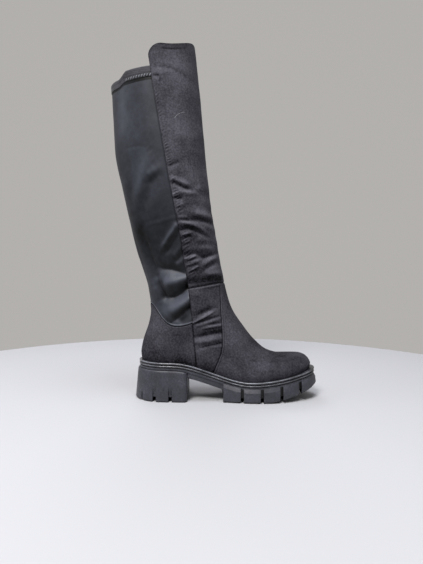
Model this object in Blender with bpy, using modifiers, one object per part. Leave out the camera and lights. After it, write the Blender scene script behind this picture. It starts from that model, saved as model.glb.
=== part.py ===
"""Knee-high block heel boot for the right foot, standing empty on its sole.

The foot points along +X, the outer side of the foot faces -Y and the floor is at z = 0. All sizes are in
metres. Places along the foot are measured from the back of the heel, and HEEL_TO_ORIGIN and
CENTRE_TO_ORIGIN carry them to the part's own origin.
"""

import math
from collections import namedtuple

import bmesh
import bpy

# Place of the origin in the boot's own measure
HEEL_TO_ORIGIN = 0.1095
CENTRE_TO_ORIGIN = 0.0034

# Walls and the gap between pieces
SUEDE_WALL = 0.0020
STRETCH_WALL = 0.0012
STRETCH_SINK = 0.0008
GAP = 0.0003

# The feather edge, where the upper meets the sole
FEATHER_LENGTH = 0.2595
HEEL_SEAT = 0.0575
HEEL_SEAT_FALL = 0.0010
ARCH_START = 0.050
ARCH_END = 0.165
BALL_SEAT = 0.0300
SPRING_START = 0.170
TOE_RISE = 0.0142
TOE_CURVE = 1.6
WAIST_LEAN = 0.0018
OFFSET_STEP = 0.002
TOE_MORE = 0.0036
TOE_MORE_START = 0.225

# Sections of the upper, from the feather edge to the top. back and front are the ends in the side view,
# heel, waist and ball the half widths, back_cap and front_cap how long the rounded ends are, point how
# sharp the back end is (0.5 is ROUND), dip how far the section follows the feather edge, and swing how
# far its front bends to the inner side.
Section = namedtuple(
    "Section",
    "back_x back_z front_x front_z heel waist ball back_cap front_cap point dip swing",
)
SECTIONS = (
    Section(0.0010, 0.0575, 0.2600, 0.0442, 0.0335, 0.0335, 0.0452, 0.036, 0.068, 0.50, 1.00, 0.0095),
    Section(-0.0003, 0.0680, 0.2612, 0.0512, 0.0350, 0.0352, 0.0466, 0.036, 0.067, 0.50, 0.98, 0.0095),
    Section(0.0010, 0.0775, 0.2572, 0.0592, 0.0350, 0.0358, 0.0452, 0.037, 0.066, 0.50, 0.92, 0.0092),
    Section(0.0028, 0.0860, 0.2448, 0.0655, 0.0345, 0.0358, 0.0424, 0.038, 0.065, 0.50, 0.82, 0.0086),
    Section(0.0052, 0.0940, 0.2185, 0.0649, 0.0340, 0.0358, 0.0412, 0.040, 0.064, 0.50, 0.68, 0.0078),
    Section(0.0076, 0.1010, 0.1955, 0.0702, 0.0335, 0.0358, 0.0412, 0.042, 0.062, 0.50, 0.52, 0.0064),
    Section(0.0100, 0.1080, 0.1750, 0.0855, 0.0335, 0.0360, 0.0408, 0.044, 0.060, 0.50, 0.36, 0.0048),
    Section(0.0120, 0.1160, 0.1562, 0.1080, 0.0340, 0.0365, 0.0400, 0.048, 0.058, 0.50, 0.20, 0.0030),
    Section(0.0140, 0.1310, 0.1380, 0.1360, 0.0355, 0.0375, 0.0390, 0.055, 0.058, 0.50, 0.06, 0.0012),
    Section(0.0095, 0.1640, 0.1284, 0.1660, 0.0380, 0.0385, 0.0385, 0.060, 0.058, 0.53, 0.00, 0.0000),
    Section(-0.0098, 0.2240, 0.1166, 0.2240, 0.0430, 0.0435, 0.0435, 0.068, 0.057, 0.56, 0.00, 0.0000),
    Section(-0.0293, 0.3040, 0.1032, 0.3040, 0.0470, 0.0475, 0.0475, 0.072, 0.060, 0.58, 0.00, 0.0000),
    Section(-0.0440, 0.3720, 0.0955, 0.3720, 0.0500, 0.0500, 0.0500, 0.077, 0.062, 0.60, 0.00, 0.0000),
    Section(-0.0494, 0.4550, 0.0872, 0.4550, 0.0510, 0.0510, 0.0510, 0.076, 0.062, 0.62, 0.00, 0.0000),
    Section(-0.0560, 0.5420, 0.0770, 0.5420, 0.0510, 0.0510, 0.0510, 0.070, 0.059, 0.62, 0.00, 0.0000),
)
HEEL_PLACE, WAIST_PLACE, BALL_PLACE = 0.14, 0.42, 0.70
SWING_PLACE = 0.28
ROUND = 0.5
NOSE_RISE = 4
RINGS_A_SECTION = 2
COLUMNS = 48
FIRST_SHAFT_RING = 6

# Seam between the suede front and the stretch back, as height and place along the foot
Seam = namedtuple("Seam", "z x")
SIDE_SEAM = (
    Seam(0.100, 0.0810),
    Seam(0.166, 0.0726),
    Seam(0.247, 0.0597),
    Seam(0.325, 0.0440),
    Seam(0.420, 0.0270),
    Seam(0.486, 0.0152),
    Seam(0.560, 0.0024),
)
SEAM_STEPS = 18

# Top edge of the heel quarter, high at the back and low at the ankle
QUARTER_BACK_X, QUARTER_BACK_Z = 0.0150, 0.1420
QUARTER_LOW_X, QUARTER_LOW_Z = 0.0460, 0.1110
QUARTER_SEAM_X, QUARTER_SEAM_Z = 0.0795, 0.1140
QUARTER_STEPS = 12

# Flap of the front panel above the knee
FLAP_SIDE_TOP = 0.5192
FLAP_FRONT_TOP = 0.5350
FLAP_CORNER = 0.0190
FLAP_RISE_START, FLAP_RISE_END = 0.043, 0.0775
FLAP_CURVE = 1.5
FLAP_STEPS = 6

# Collar band along the top of the stretch panel
RIM_BACK, RIM_SIDE = 0.4750, 0.4850
RIM_STEP_START, RIM_STEP_END = -0.037, -0.013
BAND_HEIGHT = 0.0155
RIM_STEPS = 8

# Welt with its two beads
WELT_INSIDE = 0.0105
WELT_FACE = 0.0016
UPPER_BEAD = 0.00155
LOWER_BEAD = 0.00145
BEAD_GROOVE = 0.0011
BEAD_OUT = 0.0006
BEAD_STEPS = 4

# Sole plate, waist bar and lugs
PLATE_CORE_INSIDE = 0.0110
PLATE_OUT = 0.0028
PLATE_DEPTH = 0.0116
PLATE_EDGE = 0.0008
WAIST_TOP_DEPTH = 0.0095
WAIST_DEPTH = 0.0200
WAIST_OUT = 0.0006
WAIST_EDGE = 0.0025
WAIST_STEPS = 6
LUG_START = 0.1256
LUG_TOP_DEPTH = 0.0098
LUG_TOP_OUT = 0.0030
LUG_SHOULDER_DEPTH = 0.0152
LUG_OUT = 0.0056
LUG_FOOT_OUT = 0.0066
LUG_CHAMFER = 0.0028
LUG_CORNER = 0.0030
TREAD_SPRING_START = 0.195
TREAD_SPRING = 0.0210
TREAD_SPRING_LENGTH = 0.074
TREAD_CURVE = 1.4
NOTCH_FIRST, NOTCH_PITCH, NOTCH_COUNT = 0.1529, 0.0289, 4
NOTCH_WIDTH = 0.0038
TREAD_GROOVE = 0.0075
TREAD_GROOVE_MORE = 0.0003
CENTRE_GROOVE_WIDTH = 0.0070
CENTRE_GROOVE_DEPTH = 0.0045

# Block heel
HEEL_FRONT = 0.0725
HEEL_TOP_OUT, HEEL_SHOULDER_OUT, HEEL_FOOT_OUT = 0.0040, 0.0054, 0.0086
HEEL_SHOULDER = 0.0018
HEEL_CHAMFER = 0.0016
HEEL_CORNER = 0.0055
HEEL_NOTCH_FIRST, HEEL_NOTCH_PITCH, HEEL_NOTCH_COUNT = 0.0244, 0.0234, 2
HEEL_NOTCH_WIDTH = 0.0048
HEEL_NOTCH_DEPTH = 0.0024
HEEL_NOTCH_HEIGHT = 0.0230
REAR_NOTCH_WIDTH = 0.0034
REAR_NOTCH_HEIGHT = 0.0150
REAR_NOTCH_TURN = 0.16

# Insole
INSOLE_CLEARANCE = 0.0005
INSOLE_THICKNESS = 0.0040
INSOLE_EDGE = 0.0010

# How rings are read: the point across from a ring's first one
ON_CENTRE, AT_CORNER = 0, -1
OUTLINE_STEPS = 240
BLOCK_COLUMNS = 40
CORNER_STEPS = 4
HALVINGS = 40
CUTTER_SPAN = 0.2
BEHIND, ABOVE = -0.12, 0.60


def smooth_step(low, high, value):
    """0 at low, 1 at high and smooth between them."""
    share = min(max((value - low) / (high - low), 0.0), 1.0)
    return share * share * (3.0 - 2.0 * share)


def mix(first, second, share):
    return first + (second - first) * share


def slopes(values):
    """Slopes for a curve that passes through the values with no overshoot."""
    steps = [after - before for before, after in zip(values, values[1:])]
    inner = []
    for before, after in zip(steps, steps[1:]):
        inner.append(2.0 * before * after / (before + after) if before * after > 0.0 else 0.0)
    return [steps[0]] + inner + [steps[-1]]


COLUMN_VALUES = [list(column) for column in zip(*SECTIONS)]
COLUMN_SLOPES = [slopes(values) for values in COLUMN_VALUES]


def section_at(place):
    """The section at a place in the table, blended smoothly between its rows."""
    row = min(int(place), len(SECTIONS) - 2)
    share = place - row
    blended = []
    for values, slope in zip(COLUMN_VALUES, COLUMN_SLOPES):
        start, end = values[row], values[row + 1]
        bend = share * (1.0 - share)
        lift = bend * (slope[row] * (1.0 - share) - slope[row + 1] * share)
        ease = share * share * (3.0 - 2.0 * share)
        blended.append(mix(start, end, ease) + lift)
    return Section(*blended)


def feather_z(x):
    """Height of the feather edge: heel seat, arch, ball and toe spring."""
    seat = HEEL_SEAT - HEEL_SEAT_FALL * min(max(x / ARCH_START, 0.0), 1.0)
    fall = (HEEL_SEAT - HEEL_SEAT_FALL - BALL_SEAT) * smooth_step(ARCH_START, ARCH_END, x)
    spring = max(x - SPRING_START, 0.0) / (FEATHER_LENGTH - SPRING_START)
    return seat - fall + TOE_RISE * spring**TOE_CURVE


def feather_drop(x):
    """How far the feather edge lies below the straight line from heel to toe tip."""
    first = SECTIONS[0]
    share = (x - first.back_x) / (first.front_x - first.back_x)
    return feather_z(x) - mix(first.back_z, first.front_z, share)


def rounded_end(distance, length, point):
    reach = min(max(distance / length, 0.0), 1.0)
    return (1.0 - (1.0 - reach) ** 2) ** point


def upper_point(place, turn):
    """A point on the outside of the upper.

    place counts the sections from the feather edge. turn is 0 at the back, runs over the outer side to
    1 at the front, and over the inner side to 2 at the back again.
    """
    section = section_at(place)
    along = (1.0 - math.cos(math.pi * turn)) / 2.0
    side = -1.0 if turn < 1.0 else 1.0
    length = section.front_x - section.back_x
    x = section.back_x + along * length
    width = mix(section.heel, section.waist, smooth_step(HEEL_PLACE, WAIST_PLACE, along))
    width += (section.ball - section.waist) * smooth_step(WAIST_PLACE, BALL_PLACE, along)
    width *= rounded_end(along * length, section.back_cap, section.point)
    width *= rounded_end((1.0 - along) * length, section.front_cap, ROUND)
    centre = section.swing * smooth_step(SWING_PLACE, 1.0, along)
    centre -= WAIST_LEAN * section.dip * math.sin(math.pi * along) ** 2
    z = mix(section.back_z, section.front_z, along)
    z += section.dip * (feather_drop(x) - feather_drop(section.front_x) * along**NOSE_RISE)
    return (x, centre + side * width, z)


def edge_point(turn, out):
    """A point of the feather edge in plan, moved outwards, and a little further at the toe of the sole."""
    here = upper_point(0.0, turn % 2.0)
    before = upper_point(0.0, (turn - OFFSET_STEP) % 2.0)
    after = upper_point(0.0, (turn + OFFSET_STEP) % 2.0)
    run_x, run_y = after[0] - before[0], after[1] - before[1]
    length = math.hypot(run_x, run_y)
    if out > 0.0:
        out += TOE_MORE * smooth_step(TOE_MORE_START, FEATHER_LENGTH, here[0])
    return (here[0] + out * run_y / length, here[1] - out * run_x / length)


def side_at(x, out, side):
    """Where the outline, moved outwards, passes the place x on one side of the foot."""
    low, high = 0.0, 1.0
    for _ in range(HALVINGS):
        middle = (low + high) / 2.0
        if edge_point(middle if side < 0 else 2.0 - middle, out)[0] < x:
            low = middle
        else:
            high = middle
    return edge_point(low if side < 0 else 2.0 - low, out)[1]


def tread_z(x):
    """Height of the tread above the floor: flat under heel and ball, rising to the toe."""
    rise = max(x - TREAD_SPRING_START, 0.0) / TREAD_SPRING_LENGTH
    return TREAD_SPRING * rise**TREAD_CURVE


def seam_x(z):
    """Place of the side seam at a height."""
    for lower, upper in zip(SIDE_SEAM, SIDE_SEAM[1:]):
        if z <= upper.z:
            break
    return mix(lower.x, upper.x, (z - lower.z) / (upper.z - lower.z))


def quarter_top(x):
    """Height of the top edge of the heel quarter at a place along the foot."""
    height = mix(QUARTER_BACK_Z, QUARTER_LOW_Z, smooth_step(QUARTER_BACK_X, QUARTER_LOW_X, x))
    return height + (QUARTER_SEAM_Z - QUARTER_LOW_Z) * smooth_step(QUARTER_LOW_X, QUARTER_SEAM_X, x)


def rim_z(x):
    """Height of the collar's rim at a place along the foot."""
    return mix(RIM_BACK, RIM_SIDE, smooth_step(RIM_STEP_START, RIM_STEP_END, x))


def spread(low, high, steps):
    return [mix(low, high, number / steps) for number in range(steps + 1)]


def to_origin(point):
    return (point[0] - HEEL_TO_ORIGIN, point[1] - CENTRE_TO_ORIGIN, point[2])


def finish(name, colour, roughness):
    material = bpy.data.materials.new(name)
    material.use_nodes = True
    shader = material.node_tree.nodes["Principled BSDF"]
    shader.inputs["Base Color"].default_value = (*colour, 1.0)
    shader.inputs["Roughness"].default_value = roughness
    shader.inputs["Metallic"].default_value = 0.0
    return material


def add_object(name, shape, collection):
    shape.normal_update()
    bmesh.ops.recalc_face_normals(shape, faces=shape.faces)
    mesh = bpy.data.meshes.new(name)
    shape.to_mesh(mesh)
    shape.free()
    made = bpy.data.objects.new(name, mesh)
    collection.objects.link(made)
    return made


def add_part(name, shape, material, smooth):
    made = add_object(name, shape, parts)
    made.parent = boot
    made.data.materials.append(material)
    if smooth:
        made.data.shade_smooth()
    return made


def add_cutter(name, shape):
    made = add_object(name, shape, cutters)
    made.hide_render = True
    made.display_type = "WIRE"
    return made


def cut(part, cutter, operation):
    boolean = part.modifiers.new(cutter.name, "BOOLEAN")
    boolean.operation = operation
    boolean.object = cutter
    boolean.solver = "EXACT"


def loft(rings, closed_rows=False):
    """Skin through rings of points, left open at both ends or joined from the last ring to the first."""
    shape = bmesh.new()
    rows = [[shape.verts.new(to_origin(point)) for point in ring] for ring in rings]
    pairs = list(zip(rows, rows[1:] + rows[:1])) if closed_rows else list(zip(rows, rows[1:]))
    for first, second in pairs:
        for number in range(len(first)):
            shape.faces.new((first[number - 1], first[number], second[number], second[number - 1]))
    return shape


def capped_loft(rings, opposite):
    """Skin through rings, with the first and last closed by strips from side to side.

    opposite is ON_CENTRE where a ring starts on the centre line, and AT_CORNER where it starts at a corner.
    """
    shape = loft(rings)
    shape.verts.ensure_lookup_table()
    count = len(rings[0])
    for start in (0, count * (len(rings) - 1)):
        for number in range(count // 2):
            far = opposite - number
            strip = [number, number + 1, far - 1, far]
            corners = dict.fromkeys(shape.verts[start + place % count] for place in strip)
            if len(corners) > 2:
                shape.faces.new(corners)
    return shape


def skin(name, first_ring, sink, wall, material):
    """The upper's surface as a wall, from one of its rings up to the top."""
    rings = []
    last = (len(SECTIONS) - 1) * RINGS_A_SECTION
    for ring in range(first_ring, last + 1):
        place = ring / RINGS_A_SECTION
        rings.append([upper_point(place, 2.0 * column / COLUMNS) for column in range(COLUMNS)])
    shape = loft(rings)
    bmesh.ops.recalc_face_normals(shape, faces=shape.faces)
    shape.normal_update()
    for vertex in shape.verts:
        vertex.co -= vertex.normal * sink
    made = add_part(name, shape, material, smooth=True)
    solid = made.modifiers.new("wall", "SOLIDIFY")
    solid.thickness = wall
    solid.offset = -1.0
    solid.use_even_offset = True
    return made


def side_prism(name, outline):
    """A cutter right through the boot with an outline drawn in the side view."""
    shape = bmesh.new()
    corners = [shape.verts.new(to_origin((x, -CUTTER_SPAN / 2.0, z))) for x, z in outline]
    face = shape.faces.new(corners)
    pushed = bmesh.ops.extrude_face_region(shape, geom=[face])
    moved = [item for item in pushed["geom"] if isinstance(item, bmesh.types.BMVert)]
    bmesh.ops.translate(shape, verts=moved, vec=(0.0, CUTTER_SPAN, 0.0))
    return add_cutter(name, shape)


def flap_edge():
    """The flap from its rear edge, round the corner and along the top to the front."""
    corner_z = FLAP_SIDE_TOP - FLAP_CORNER
    centre_x = seam_x(corner_z) + FLAP_CORNER
    points = []
    for angle in spread(math.pi, math.pi / 2.0, FLAP_STEPS):
        points.append((centre_x + FLAP_CORNER * math.cos(angle), corner_z + FLAP_CORNER * math.sin(angle)))
    for x in spread(FLAP_RISE_START, FLAP_RISE_END, FLAP_STEPS):
        share = (x - FLAP_RISE_START) / (FLAP_RISE_END - FLAP_RISE_START)
        points.append((x, mix(FLAP_SIDE_TOP, FLAP_FRONT_TOP, share**FLAP_CURVE)))
    return points


def back_opening():
    """What is cut from the suede: the back of the shaft and all above the flap."""
    points = [(BEHIND, QUARTER_BACK_Z)]
    points += [(x, quarter_top(x)) for x in spread(QUARTER_BACK_X, QUARTER_SEAM_X, QUARTER_STEPS)]
    heights = spread(QUARTER_SEAM_Z, FLAP_SIDE_TOP - FLAP_CORNER, SEAM_STEPS)
    points += [(seam_x(z), z) for z in heights[1:-1]]
    points += flap_edge()
    return points + [(CUTTER_SPAN, FLAP_FRONT_TOP), (CUTTER_SPAN, ABOVE), (BEHIND, ABOVE)]


def stretch_outline():
    """The stretch panel: inside the suede's opening and below the collar band."""
    points = [(BEHIND, QUARTER_BACK_Z + GAP)]
    places = spread(QUARTER_BACK_X, QUARTER_SEAM_X - GAP, QUARTER_STEPS)
    points += [(x, quarter_top(x) + GAP) for x in places]
    top = RIM_SIDE - BAND_HEIGHT
    points += [(seam_x(z) - GAP, z) for z in spread(QUARTER_SEAM_Z + GAP, top, SEAM_STEPS)[1:-1]]
    points.append((seam_x(top) - GAP, top))
    places = spread(RIM_STEP_END, RIM_STEP_START, RIM_STEPS)
    points += [(x, rim_z(x) - BAND_HEIGHT) for x in places]
    return points + [(BEHIND, RIM_BACK - BAND_HEIGHT)]


def band_outline():
    """The collar band, from the stretch panel's top edge to the rim."""
    places = spread(RIM_STEP_END, RIM_STEP_START, RIM_STEPS)
    low = RIM_SIDE - BAND_HEIGHT + GAP
    points = [(BEHIND, RIM_BACK - BAND_HEIGHT + GAP)]
    points += [(x, rim_z(x) - BAND_HEIGHT + GAP) for x in reversed(places)]
    points += [(seam_x(low) - GAP, low), (seam_x(RIM_SIDE) - GAP, RIM_SIDE)]
    points += [(x, rim_z(x)) for x in places]
    return points + [(BEHIND, RIM_BACK)]


def make_upper():
    suede = finish("suede", (0.043, 0.042, 0.046), 0.95)
    made = skin("upper", 0, 0.0, SUEDE_WALL, suede)
    cut(made, side_prism("back_opening", back_opening()), "DIFFERENCE")


def make_stretch_panel():
    fabric = finish("stretch_fabric", (0.046, 0.047, 0.054), 0.55)
    made = skin("stretch_panel", FIRST_SHAFT_RING * RINGS_A_SECTION, STRETCH_SINK, STRETCH_WALL, fabric)
    cut(made, side_prism("stretch_outline", stretch_outline()), "INTERSECT")


def make_collar_band():
    elastic = finish("elastic_band", (0.040, 0.040, 0.044), 0.75)
    made = skin("collar_band", FIRST_SHAFT_RING * RINGS_A_SECTION, 0.0, SUEDE_WALL, elastic)
    cut(made, side_prism("band_outline", band_outline()), "INTERSECT")


def welt_profile():
    """The welt's section as pairs of out and down, from the inner top edge over both beads."""
    points = [(-WELT_INSIDE, GAP), (WELT_FACE - UPPER_BEAD, GAP)]
    down = GAP
    for radius in (UPPER_BEAD, LOWER_BEAD):
        for angle in spread(math.pi / 2.0, -math.pi / 2.0, BEAD_STEPS):
            out = WELT_FACE + BEAD_OUT + radius * math.cos(angle)
            points.append((out, down + radius * (1.0 - math.sin(angle))))
        down += 2.0 * radius + BEAD_GROOVE
        points.append((WELT_FACE, down - BEAD_GROOVE / 2.0))
    return points + [(-WELT_INSIDE, down - BEAD_GROOVE / 2.0)]


WELT_DEPTH = welt_profile()[-1][1]


def edge_ring(out, down):
    """A ring round the whole foot, set out from the feather edge and down from it."""
    ring = []
    for column in range(COLUMNS):
        x, y = edge_point(2.0 * column / COLUMNS, out)
        ring.append((x, y, feather_z(x) - down))
    return ring


def make_welt():
    rings = [edge_ring(out, down) for out, down in welt_profile()]
    shape = loft(rings, closed_rows=True)
    add_part("welt", shape, finish("welt_rubber", (0.050, 0.049, 0.054), 0.45), True)


def block_outline(out, end, cut_x, corner):
    """Outline of the heel end (-1) or toe end (1) of the foot, cut off straight at cut_x."""
    start = 0.0 if end > 0 else 1.0
    turns = [start + 2.0 * number / OUTLINE_STEPS for number in range(OUTLINE_STEPS + 1)]
    kept = [edge_point(turn, out) for turn in turns]
    kept = [point for point in kept if end * (point[0] - cut_x) > corner]
    first, last = kept[0], kept[-1]
    inward = 1.0 if first[1] < last[1] else -1.0
    opening, closing = [], []
    for angle in spread(0.0, math.pi / 2.0, CORNER_STEPS):
        x = cut_x + end * corner * (1.0 - math.sin(angle))
        shift = inward * corner * (1.0 - math.cos(angle))
        opening.append((x, first[1] + shift))
        closing.append((x, last[1] - shift))
    return evenly(opening[::-1] + kept[1:-1] + closing)


def evenly(points):
    """The path through the points again, as a fixed number of even steps."""
    lengths = [0.0]
    for before, after in zip(points, points[1:]):
        lengths.append(lengths[-1] + math.dist(before, after))
    even = []
    reached = 0
    for wanted in spread(0.0, lengths[-1], BLOCK_COLUMNS - 1):
        while reached < len(points) - 2 and lengths[reached + 1] < wanted:
            reached += 1
        span = lengths[reached + 1] - lengths[reached]
        share = (wanted - lengths[reached]) / span
        before, after = points[reached], points[reached + 1]
        even.append((mix(before[0], after[0], share), mix(before[1], after[1], share)))
    return even


def plate_shape():
    rings = [
        edge_ring(-PLATE_CORE_INSIDE, GAP),
        edge_ring(-PLATE_CORE_INSIDE, WELT_DEPTH + GAP),
        edge_ring(PLATE_OUT, WELT_DEPTH + GAP),
        edge_ring(PLATE_OUT, PLATE_DEPTH - PLATE_EDGE),
        edge_ring(PLATE_OUT - PLATE_EDGE, PLATE_DEPTH),
    ]
    return capped_loft(rings, ON_CENTRE)


def waist_shape():
    """The bar under the arch, from the heel's front face to the lugs."""
    rings = []
    for x in spread(HEEL_FRONT + GAP, LUG_START + LUG_CORNER, WAIST_STEPS):
        outer, inner = (side_at(x, WAIST_OUT, side) for side in (-1.0, 1.0))
        top, low = feather_z(x) - WAIST_TOP_DEPTH, feather_z(x) - WAIST_DEPTH
        rings.append(
            [
                (x, outer, top),
                (x, outer, low + WAIST_EDGE),
                (x, outer + WAIST_EDGE, low),
                (x, inner - WAIST_EDGE, low),
                (x, inner, low + WAIST_EDGE),
                (x, inner, top),
            ]
        )
    return capped_loft(rings, AT_CORNER)


def lug_shape():
    """The forefoot block before its notches: sloped shoulder, upright side and a worn lower edge."""
    rings = []
    for out, down in ((LUG_TOP_OUT, LUG_TOP_DEPTH), (LUG_OUT, LUG_SHOULDER_DEPTH)):
        outline = block_outline(out, 1.0, LUG_START, LUG_CORNER)
        rings.append([(x, y, feather_z(x) - down) for x, y in outline])
    for out, up in ((LUG_FOOT_OUT, LUG_CHAMFER), (LUG_FOOT_OUT - LUG_CHAMFER, 0.0)):
        outline = block_outline(out, 1.0, LUG_START, LUG_CORNER)
        rings.append([(x, y, tread_z(x) + up) for x, y in outline])
    return capped_loft(rings, AT_CORNER)


def box(low, high, turned=0.0, about=(0.0, 0.0)):
    """A box between two corners, turned about an upright line."""
    shape = bmesh.new()
    bmesh.ops.create_cube(shape, size=1.0)
    for vertex in shape.verts:
        spot = [mix(least, most, share + 0.5) for least, most, share in zip(low, high, vertex.co)]
        away_x, away_y = spot[0] - about[0], spot[1] - about[1]
        x = about[0] + away_x * math.cos(turned) - away_y * math.sin(turned)
        y = about[1] + away_x * math.sin(turned) + away_y * math.cos(turned)
        vertex.co = to_origin((x, y, spot[2]))
    return shape


def make_outsole():
    made = add_part("outsole", plate_shape(), finish("sole_rubber", (0.045, 0.044, 0.048), 0.7), False)
    cut(made, add_cutter("waist_bar", waist_shape()), "UNION")
    cut(made, add_cutter("lug_block", lug_shape()), "UNION")
    wide = CUTTER_SPAN / 2.0
    for number in range(NOTCH_COUNT):
        middle = NOTCH_FIRST + number * NOTCH_PITCH
        near, far = middle - NOTCH_WIDTH / 2.0, middle + NOTCH_WIDTH / 2.0
        floor = tread_z(near) + TREAD_GROOVE
        more = TREAD_GROOVE_MORE
        groove = box((near - more, -wide, -wide), (far + more, wide, floor))
        cut(made, add_cutter(f"groove_{number + 1}", groove), "DIFFERENCE")
        top = feather_z(middle) - LUG_TOP_DEPTH - PLATE_EDGE
        for side, label in ((-1.0, "outer"), (1.0, "inner")):
            wall = side_at(middle, PLATE_OUT + GAP, side)
            low_y, high_y = sorted((wall, side * wide))
            slot = box((near, low_y, -wide), (far, high_y, top))
            cut(made, add_cutter(f"slot_{label}_{number + 1}", slot), "DIFFERENCE")
    half = CENTRE_GROOVE_WIDTH / 2.0
    last = NOTCH_FIRST + (NOTCH_COUNT - 1) * NOTCH_PITCH
    channel = box((NOTCH_FIRST, -half, -wide), (last, half, CENTRE_GROOVE_DEPTH))
    cut(made, add_cutter("centre_groove", channel), "DIFFERENCE")


def heel_shape():
    rings = []
    top = PLATE_DEPTH + GAP
    for out, down in ((HEEL_TOP_OUT, top), (HEEL_SHOULDER_OUT, top + HEEL_SHOULDER)):
        outline = block_outline(out, -1.0, HEEL_FRONT, HEEL_CORNER)
        rings.append([(x, y, feather_z(x) - down) for x, y in outline])
    for out, up in ((HEEL_FOOT_OUT, HEEL_CHAMFER), (HEEL_FOOT_OUT - HEEL_CHAMFER, 0.0)):
        outline = block_outline(out, -1.0, HEEL_FRONT, HEEL_CORNER)
        rings.append([(x, y, up) for x, y in outline])
    return capped_loft(rings, AT_CORNER)


def make_heel():
    made = add_part("heel", heel_shape(), finish("heel_rubber", (0.045, 0.044, 0.048), 0.65), False)
    wide = CUTTER_SPAN / 2.0
    for number in range(HEEL_NOTCH_COUNT):
        middle = HEEL_NOTCH_FIRST + number * HEEL_NOTCH_PITCH
        near, far = middle - HEEL_NOTCH_WIDTH / 2.0, middle + HEEL_NOTCH_WIDTH / 2.0
        more = TREAD_GROOVE_MORE
        groove = box((near - more, -wide, -wide), (far + more, wide, TREAD_GROOVE))
        cut(made, add_cutter(f"heel_groove_{number + 1}", groove), "DIFFERENCE")
        for side, label in ((-1.0, "outer"), (1.0, "inner")):
            wall = side_at(middle, HEEL_FOOT_OUT - HEEL_NOTCH_DEPTH, side)
            low_y, high_y = sorted((wall, side * wide))
            slot = box((near, low_y, -wide), (far, high_y, HEEL_NOTCH_HEIGHT))
            cut(made, add_cutter(f"heel_slot_{label}_{number + 1}", slot), "DIFFERENCE")
    half = REAR_NOTCH_WIDTH / 2.0
    for side, label in ((-1.0, "outer"), (1.0, "inner")):
        turn = REAR_NOTCH_TURN if side < 0 else 2.0 - REAR_NOTCH_TURN
        wall = edge_point(turn, HEEL_FOOT_OUT - HEEL_NOTCH_DEPTH)
        outside = edge_point(turn, HEEL_FOOT_OUT)
        heading = math.atan2(outside[1] - wall[1], outside[0] - wall[0])
        low = (wall[0], wall[1] - half, -wide)
        high = (wall[0] + wide, wall[1] + half, REAR_NOTCH_HEIGHT)
        slot = box(low, high, heading, wall)
        cut(made, add_cutter(f"heel_rear_{label}", slot), "DIFFERENCE")


def make_insole():
    inside = SUEDE_WALL + INSOLE_CLEARANCE
    rings = [
        edge_ring(-inside - INSOLE_EDGE, -INSOLE_THICKNESS),
        edge_ring(-inside, INSOLE_EDGE - INSOLE_THICKNESS),
        edge_ring(-inside, 0.0),
    ]
    lining = finish("insole_lining", (0.030, 0.030, 0.032), 0.9)
    add_part("insole", capped_loft(rings, ON_CENTRE), lining, True)


for leftover in list(bpy.data.objects):
    bpy.data.objects.remove(leftover, do_unlink=True)
parts = bpy.data.collections.new("block_heel_boot")
cutters = bpy.data.collections.new("cutters")
bpy.context.scene.collection.children.link(parts)
bpy.context.scene.collection.children.link(cutters)
boot = bpy.data.objects.new("boot", None)
parts.objects.link(boot)

make_upper()
make_stretch_panel()
make_collar_band()
make_welt()
make_outsole()
make_heel()
make_insole()
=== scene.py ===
"""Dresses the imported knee-high block heel boot in suede panels, a satin stretch back and lugged rubber.

Places along the foot are measured from the back of the heel, as in the boot's source, and heights from
the floor. HEEL_TO_ORIGIN and CENTRE_TO_ORIGIN carry them to the frame's origin. Sizes are in metres, and
the paths of folds and of the fibre are in millimetres.
"""

import math
from collections import namedtuple

import bmesh
import bpy
import numpy as np
from mathutils import Matrix, Vector


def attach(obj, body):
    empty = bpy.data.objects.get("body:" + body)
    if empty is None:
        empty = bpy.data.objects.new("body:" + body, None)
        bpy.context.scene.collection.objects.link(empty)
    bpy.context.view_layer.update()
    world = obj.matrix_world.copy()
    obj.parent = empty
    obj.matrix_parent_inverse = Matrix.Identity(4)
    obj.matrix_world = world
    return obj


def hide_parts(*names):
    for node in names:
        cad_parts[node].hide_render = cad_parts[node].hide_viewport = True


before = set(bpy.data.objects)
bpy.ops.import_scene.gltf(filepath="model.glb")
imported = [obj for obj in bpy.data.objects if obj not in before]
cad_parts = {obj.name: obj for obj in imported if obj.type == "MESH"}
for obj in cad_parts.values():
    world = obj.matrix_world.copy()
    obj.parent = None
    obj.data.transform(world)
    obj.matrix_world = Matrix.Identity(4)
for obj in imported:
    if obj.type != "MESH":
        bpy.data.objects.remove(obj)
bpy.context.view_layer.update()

# Place of the origin in the boot's own measure, and a millimetre in metres
HEEL_TO_ORIGIN = 0.1095
CENTRE_TO_ORIGIN = 0.0034
MM = 0.001

# Walls, the share of one that is left under a dent, and the gap between pieces
SUEDE_WALL = 0.0020
STRETCH_WALL = 0.0012
STRETCH_SINK = 0.0008
LEAST_WALL = 0.4
GAP = 0.0003

# The feather edge, where the upper meets the sole
FEATHER_LENGTH = 0.2595
HEEL_SEAT = 0.0575
HEEL_SEAT_FALL = 0.0010
ARCH_START = 0.050
ARCH_END = 0.165
BALL_SEAT = 0.0300
SPRING_START = 0.170
TOE_RISE = 0.0142
TOE_CURVE = 1.6
WAIST_LEAN = 0.0018
OFFSET_STEP = 0.002
TOE_MORE = 0.0036
TOE_MORE_START = 0.225

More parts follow.
